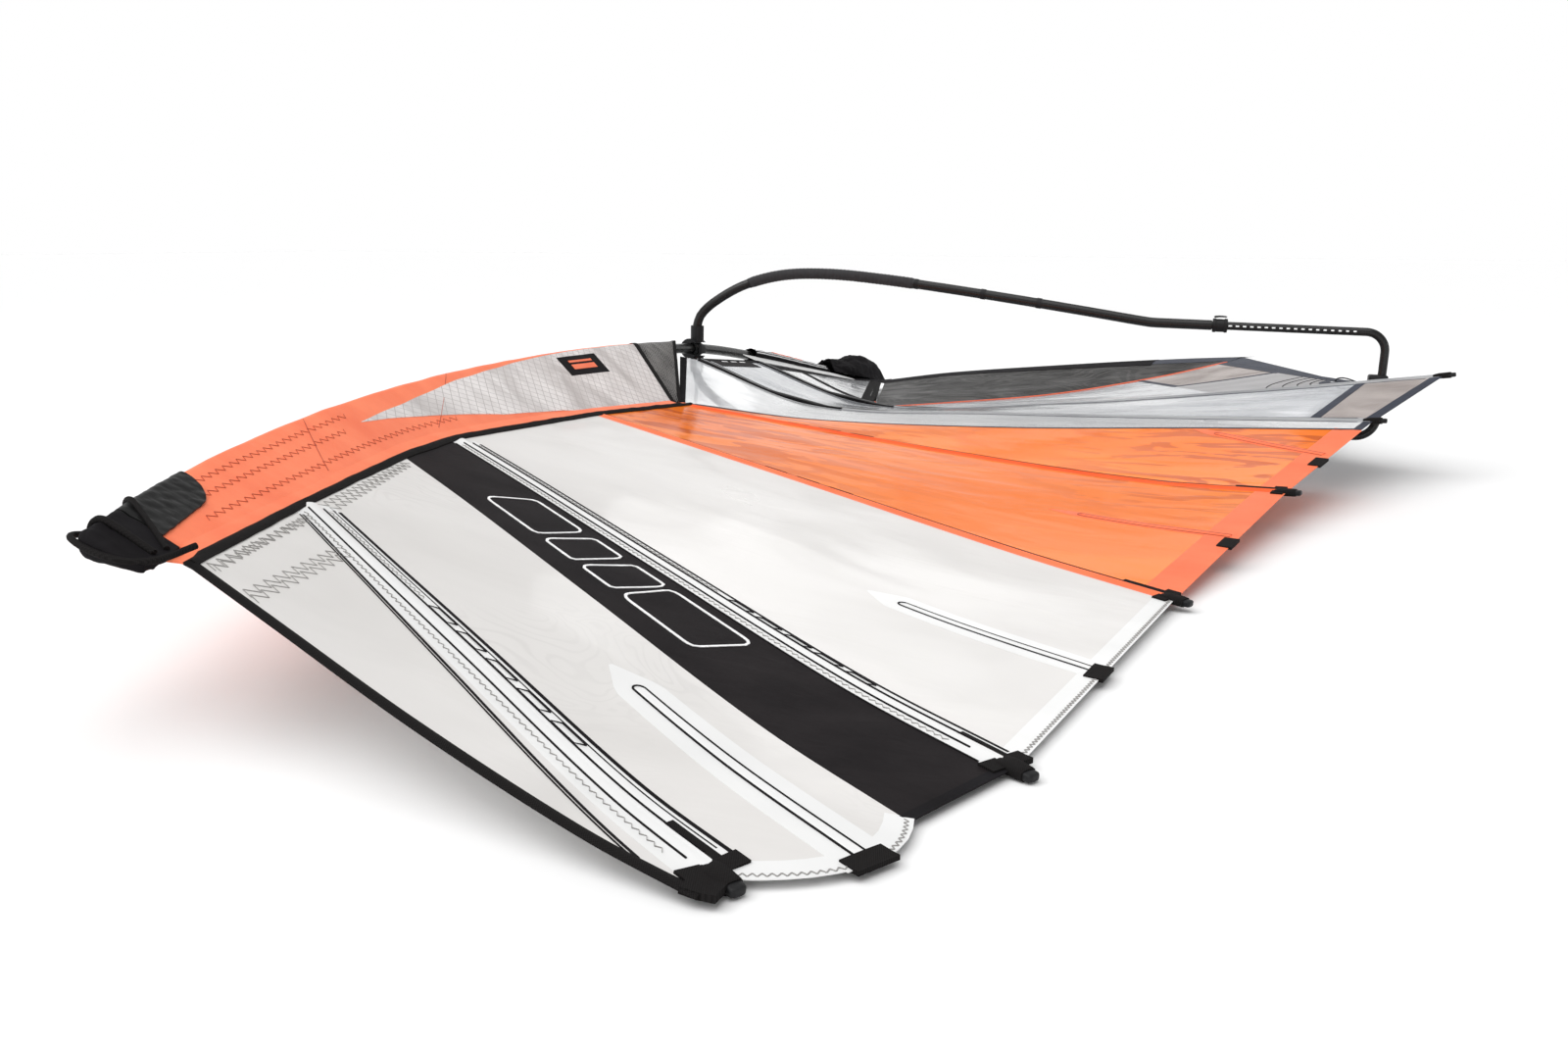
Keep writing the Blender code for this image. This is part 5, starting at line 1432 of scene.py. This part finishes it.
# ---------------------------------------------------------------- boom head
head_along = (mast_point(BOOM_Y - 0.1) - mast_point(BOOM_Y + 0.1)).normalized()
head_up = head_along.cross(BOOM_AXES.to_3x3() @ Vector((1.0, 0.0, 0.0))).normalized()
HEAD_AXES = Matrix((head_up.cross(head_along), head_up, head_along)).transposed().to_4x4()
HEAD_AXES.translation = mast_point(BOOM_Y)
dress("boom_head", "plastic")
strap_rings = []
for i in range(19):
    z = -0.024 + 0.048 * i / 18
    swell = 0.0 if i in (0, 18) else 0.0006
    groove = 0.0010 if i % 6 in (2, 3) else 0.0
    inner = [(0.0180 * math.cos(t), 0.0180 * math.sin(t)) for t in
             (math.radians(50 - 100 * k / 16) for k in range(17))]
    outer = [((0.0239 + swell - groove) * math.cos(t), (0.0239 + swell - groove) * math.sin(t)) for t in
             (math.radians(-50 + 100 * k / 16) for k in range(17))]
    strap_rings.append([HEAD_AXES @ Vector((x, y, z)) for x, y in inner + outer])
Skin().rings(strap_rings).build("jaw_strap", "plastic", "clamp_strap", ("clamp_strap",))
lever_rings = []
for i in range(15):
    f = i / 14
    z = 0.020 - 0.040 * f
    thick = (0.0038 - 0.0010 * f) * (0.6 if i in (0, 14) else 1.0)
    wide = (0.0165 - 0.0035 * f) * (0.85 if i in (0, 14) else 1.0)
    x = 0.0303 + 0.0010 * math.sin(math.pi * f) + 0.0008 * f
    lever_rings.append([HEAD_AXES @ Vector((x + thick * c, wide * s, z)) for c, s in oval(0.5, 28)])
Skin().rings(lever_rings).build("jaw_lever", "plastic", "clamp_lever", ("clamp_lever",))

# ---------------------------------------------------------------- mast foot and tack
FOOT_W, FOOT_L, FOOT_H = 0.084, 0.088, 0.052
SHEAVE_X = 0.029
AXLE_S = 0.032
foot_box = box(FOOT_AXES, (0.0, FOOT_L / 2, 0.0), (FOOT_W, FOOT_L, FOOT_H))
cuts = [cylinder(FOOT_AXES, (0.0, 0.0515, 0.0), (0.0, 0.12, 0.0), 0.0137)]
for side in (-1, 1):
    cuts.append(box(FOOT_AXES, (side * SHEAVE_X, AXLE_S + 0.042, 0.0), (0.0096, 0.12, 0.08)))
    cuts.append(cylinder(FOOT_AXES, (side * 0.0125, 0.020, -0.05), (side * 0.0125, 0.020, -0.018), 0.004, 20))
carved(foot_box, "mast_base", "plastic", "extension", tuple(cuts), 0.0040, ("mast_foot",))
cylinder(FOOT_AXES, (-0.041, AXLE_S, 0.0), (0.041, AXLE_S, 0.0), PIN_R).build(
    "axle", "steel", "extension", ("sheave_axle",))
for side, name in ((-1, "left"), (1, "right")):
    wheel("sheave_" + name, FOOT_AXES, (side * SHEAVE_X, AXLE_S, 0.0), (1, 0, 0), 0.0150, 0.0080, WHEEL_BORE_R,
          "sheave_" + name, "downhaul_sheave_" + name)
Skin().tube([on_foot(0.0, s, 0.0) for s in stretch(0.052, 0.44, 12)], 0.0132, 0.0114, 32, ACROSS).build(
    "extension_tube", "aluminium", "extension", ("mast_extension",))
collar_s = [0.110, 0.1115, 0.118, 0.120, 0.133, 0.135, 0.1415, 0.143]
collar_r = [0.0195, 0.0210, 0.0210, 0.0190, 0.0190, 0.0210, 0.0210, 0.0195]
Skin().tube([on_foot(0.0, s, 0.0) for s in collar_s], collar_r, 0.0138, 40, ACROSS).build(
    "extension_clip", "plastic", "rig", ("extension_collar",))
PULLEY_S = 0.235
lift = MAST_R + 0.009
pulley = box(FOOT_AXES, (0.0, PULLEY_S, lift), (0.076, 0.042, 0.011))
holes = tuple(cylinder(FOOT_AXES, (x, PULLEY_S, lift - 0.02), (x, PULLEY_S, lift + 0.02), 0.003, 16)
              for x in (-0.02, 0.02))
carved(pulley, "tack_block", "plastic", "rig", holes, 0.0030, ("tack_pulley",))


def curve_through(points, steps=8):
    """Rounded line through points."""
    out = []
    for i in range(len(points) - 1):
        a, b = points[max(i - 1, 0)], points[i]
        c, d = points[i + 1], points[min(i + 2, len(points) - 1)]
        for k in range(steps):
            t = k / steps
            out.append(0.5 * ((2 * b) + (c - a) * t + (2 * a - 5 * b + 4 * c - d) * t * t
                              + (3 * b - a - 3 * c + d) * t ** 3))
    return out + [points[-1]]


def line_piece(name, points, radius, node):
    """Braided line through points between two bodies; it is attached to neither."""
    obj = linked(name, Skin().rod(curve_through(points), radius, 12).mesh(name, 60))
    obj.data.materials.append(LOOKS["line"])
    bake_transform(obj)
    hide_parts(node)


one_side = ((SHEAVE_X, 0.051, 0.013), (SHEAVE_X, 0.091, 0.019), (SHEAVE_X, 0.205, lift + 0.009),
            (SHEAVE_X, PULLEY_S, lift + 0.009), (0.016, 0.265, lift + 0.010))
both = [on_foot(*p) for p in one_side] + [on_foot(-p[0], p[1], p[2]) for p in reversed(one_side)]
line_piece("downhaul", both, 0.0021, "downhaul_line")
ring_low, ring_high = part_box("clew_ring")
ring = (ring_low + ring_high) / 2
near = BOOM_AXES.inverted() @ ring
outhaul = [on_boom(roller_a, ROLLER_R + 0.003, 0.0), on_boom(roller_a - 0.02, ROLLER_R + 0.003, 0.001),
           on_boom(near.x + 0.024, near.y + 0.006, near.z + 0.014), ring + Vector((0.0, 0.0, 0.010)),
           ring - Vector((0.0, 0.0, 0.010)), on_boom(near.x + 0.024, near.y - 0.006, near.z - 0.014),
           on_boom(roller_a - 0.02, -ROLLER_R - 0.003, -0.001), on_boom(roller_a, -ROLLER_R - 0.003, 0.0)]
line_piece("outhaul", outhaul, 0.0020, "outhaul_line")

rings = []
for t in full_turn(20):
    r, z = 0.0118 + 0.0032 * math.cos(t), 0.0030 * math.sin(t)
    rings.append([ring + Vector((r * math.cos(turn), r * math.sin(turn), z)) for turn in full_turn(40)])
Skin().rings(rings, closed=True).build("clew_grommet", "steel", replaces=("clew_ring",))


def cover_point(u, v):
    """Rumpled hood over the foot, highest near its end and drawn in there."""
    turn = math.radians(8 + 164 * u)
    swell = min(v / 0.72, 1.0)
    swell = swell * swell * (3.0 - 2.0 * swell)
    close = max((v - 0.80) / 0.20, 0.0) ** 2
    rise = (0.052 + 0.056 * swell) * (1.0 - 0.42 * close)
    width = (0.046 + 0.022 * swell) * (1.0 - 0.16 * close)
    p = on_foot(0.0, 0.45 - 0.50 * v, 0.0) + Vector((width * math.cos(turn), 0.0, rise * math.sin(turn)))
    out = Vector((math.cos(turn), 0.0, math.sin(turn)))
    folds = (noise.noise(Vector((u * 4.0, v * 3.0, 4.0))) * 0.012
             + noise.noise(Vector((u * 9.0, v * 7.0, 1.0))) * 0.006)
    crumple = abs(noise.noise(Vector((u * 16.0 + v * 4.0, v * 14.0, 2.0)))) * 0.004
    return p + out * (folds + crumple - 0.002)


cover = [[list(cover_point(i / 90, j / 70)) for j in range(71)] for i in range(91)]
Skin().shell(cover, 0.0028).build("tack_hood", "black_cloth", replaces=("tack_cover",))

# Black corner between the hood and the tack of the sail.
TACK_CORNER = ((0.106, -0.330, 0.074), (0.150, -0.285, 0.074), (0.205, -0.245, 0.073), (0.214, -0.195, 0.071),
               (0.208, -0.150, 0.069))
corner = []
for i in range(33):
    t = i / 32
    side = on_foot(0.056, 0.36 - 0.36 * t, 0.004)
    place = [float(np.interp(t * 4, range(5), [c[n] for c in TACK_CORNER])) for n in range(3)]
    edge = Vector(place) + SHIFT
    row = []
    for k in range(9):
        p = side.lerp(edge, k / 8)
        p.z += 0.006 * noise.noise(Vector((t * 5.0, k / 8 * 2.0, 3.0))) * math.sin(math.pi * k / 8)
        row.append(tuple(p))
    corner.append(row)
Skin().shell(corner, 0.0020).build("tack_corner", "black_cloth")
strips("tack_corner_patch", "black_cloth", ([spot(0.190, -0.262), spot(0.47, -0.335)], 0.110, 0.0030),
       taper=lambda f: 1.0 - 0.85 * f)

# ---------------------------------------------------------------- batten ends
for number in range(1, 7):
    name = "batten_%d" % number
    tip = seam_point(name, 1.0)
    along = (tip - seam_point(name, 0.95)).normalized()
    axes = axes_at(along, UP, tip + along * (0.016 - 0.0015))
    shell = []
    for x, wide, high in ((-0.016, 0.0085, 0.0046), (-0.0145, 0.0105, 0.0058), (-0.012, 0.0110, 0.0060),
                          (-0.011, 0.0100, 0.0052), (-0.009, 0.0100, 0.0052), (-0.008, 0.0110, 0.0060),
                          (0.003, 0.0105, 0.0058), (0.0055, 0.0085, 0.0050), (0.0065, 0.0060, 0.0034)):
        shell.append([axes @ Vector((x, wide * c, high * s)) for c, s in oval(0.5, 28)])
    socket = Skin().rod([axes @ Vector((0.002, 0.0, 0.0)), axes @ Vector((0.010, 0.0, 0.0))], 0.0022, 6)
    carved(Skin().rings(shell), "batten_end_%d" % number, "plastic", "rig", (socket,), None,
           (name + "_tensioner",))
    dress(name, "carbon")
    sock = []
    slim = 1.0 if number < 5 else 0.78
    for x, wide, high in ((-0.052, 0.0140, 0.0030), (-0.050, 0.0155, 0.0052), (-0.036, 0.0158, 0.0076),
                          (-0.024, 0.0148, 0.0080), (-0.014, 0.0138, 0.0082), (-0.008, 0.0132, 0.0082),
                          (-0.005, 0.0128, 0.0078)):
        sock.append([axes @ Vector((x, wide * slim * c, high * s)) for c, s in oval(0.6, 28)])
    Skin().rings(sock).build("batten_cap_%d" % number, "webbing")

# ---------------------------------------------------------------- floor, light and camera
floor_mesh = bpy.data.meshes.new("floor")
FLOOR_Z = CAD_BOX[0][2] - 0.0002
floor_mesh.from_pydata([(x * 40.0, y * 40.0, FLOOR_Z) for x, y in ((-1, -1), (1, -1), (1, 1), (-1, 1))], [],
                       [(0, 1, 2, 3)])
floor = linked("floor", floor_mesh)
paper = Look("floor_paper", (0.93, 0.93, 0.93), 0.9, specular=0.1)
paper.bump(paper.noise(30.0, 3.0), 0.0005, 0.1)
floor_mesh.materials.append(paper.mat)

world = bpy.data.worlds.new("studio")
world.use_nodes = True
bpy.context.scene.world = world
sky = world.node_tree
direction = sky.nodes.new("ShaderNodeTexCoord").outputs["Generated"]
split = sky.nodes.new("ShaderNodeSeparateXYZ")
sky.links.new(direction, split.inputs[0])
fade = sky.nodes.new("ShaderNodeMapRange")
fade.interpolation_type = "SMOOTHSTEP"
sky.links.new(split.outputs[2], fade.inputs["Value"])
for key, value in (("From Min", 0.17), ("From Max", 0.42), ("To Min", 1.0), ("To Max", 0.42)):
    fade.inputs[key].default_value = value
background = sky.nodes["Background"]
background.inputs["Color"].default_value = (1.0, 1.0, 1.0, 1.0)
sky.links.new(fade.outputs[0], background.inputs["Strength"])


def softbox(name, place, target, size, power):
    light = bpy.data.lights.new(name, "AREA")
    light.shape = "RECTANGLE"
    light.size, light.size_y = size
    light.energy = power
    obj = linked(name, light)
    obj.location = place
    obj.rotation_euler = (Vector(target) - Vector(place)).to_track_quat("-Z", "Y").to_euler()


overhead = bpy.data.lights.new("overhead", "SUN")
overhead.energy = 2.15
overhead.angle = math.radians(75.0)
linked("overhead", overhead).rotation_euler = (math.radians(22.0), math.radians(-14.0), 0.0)
softbox("key", (-2.5, -5.5, 4.2), (0.8, -2.4, 0.1), (2.6, 1.6), 38.0)
softbox("back", (-0.5, 3.5, 3.2), (1.0, -2.0, 0.2), (4.0, 1.5), 30.0)

CAMERA_PLACE = Vector((2.004, -5.364, 0.6225))
YAW, PITCH, ROLL = 0.421, 0.213, 0.002
forward = Vector((-math.sin(YAW) * math.cos(PITCH), math.cos(YAW) * math.cos(PITCH), -math.sin(PITCH)))
right = Vector((math.cos(YAW), math.sin(YAW), 0.0))
above = right.cross(forward)
tilted_right = math.cos(ROLL) * right + math.sin(ROLL) * above
tilted_up = math.cos(ROLL) * above - math.sin(ROLL) * right
lens = bpy.data.cameras.new("camera")
lens.sensor_width = 36.0
lens.lens = 30.42
camera = linked("camera", lens)
camera.matrix_world = Matrix.Translation(CAMERA_PLACE) @ Matrix(
    (tilted_right, tilted_up, -forward)).transposed().to_4x4()
bpy.context.scene.camera = camera
bpy.context.scene.view_settings.view_transform = "Standard"
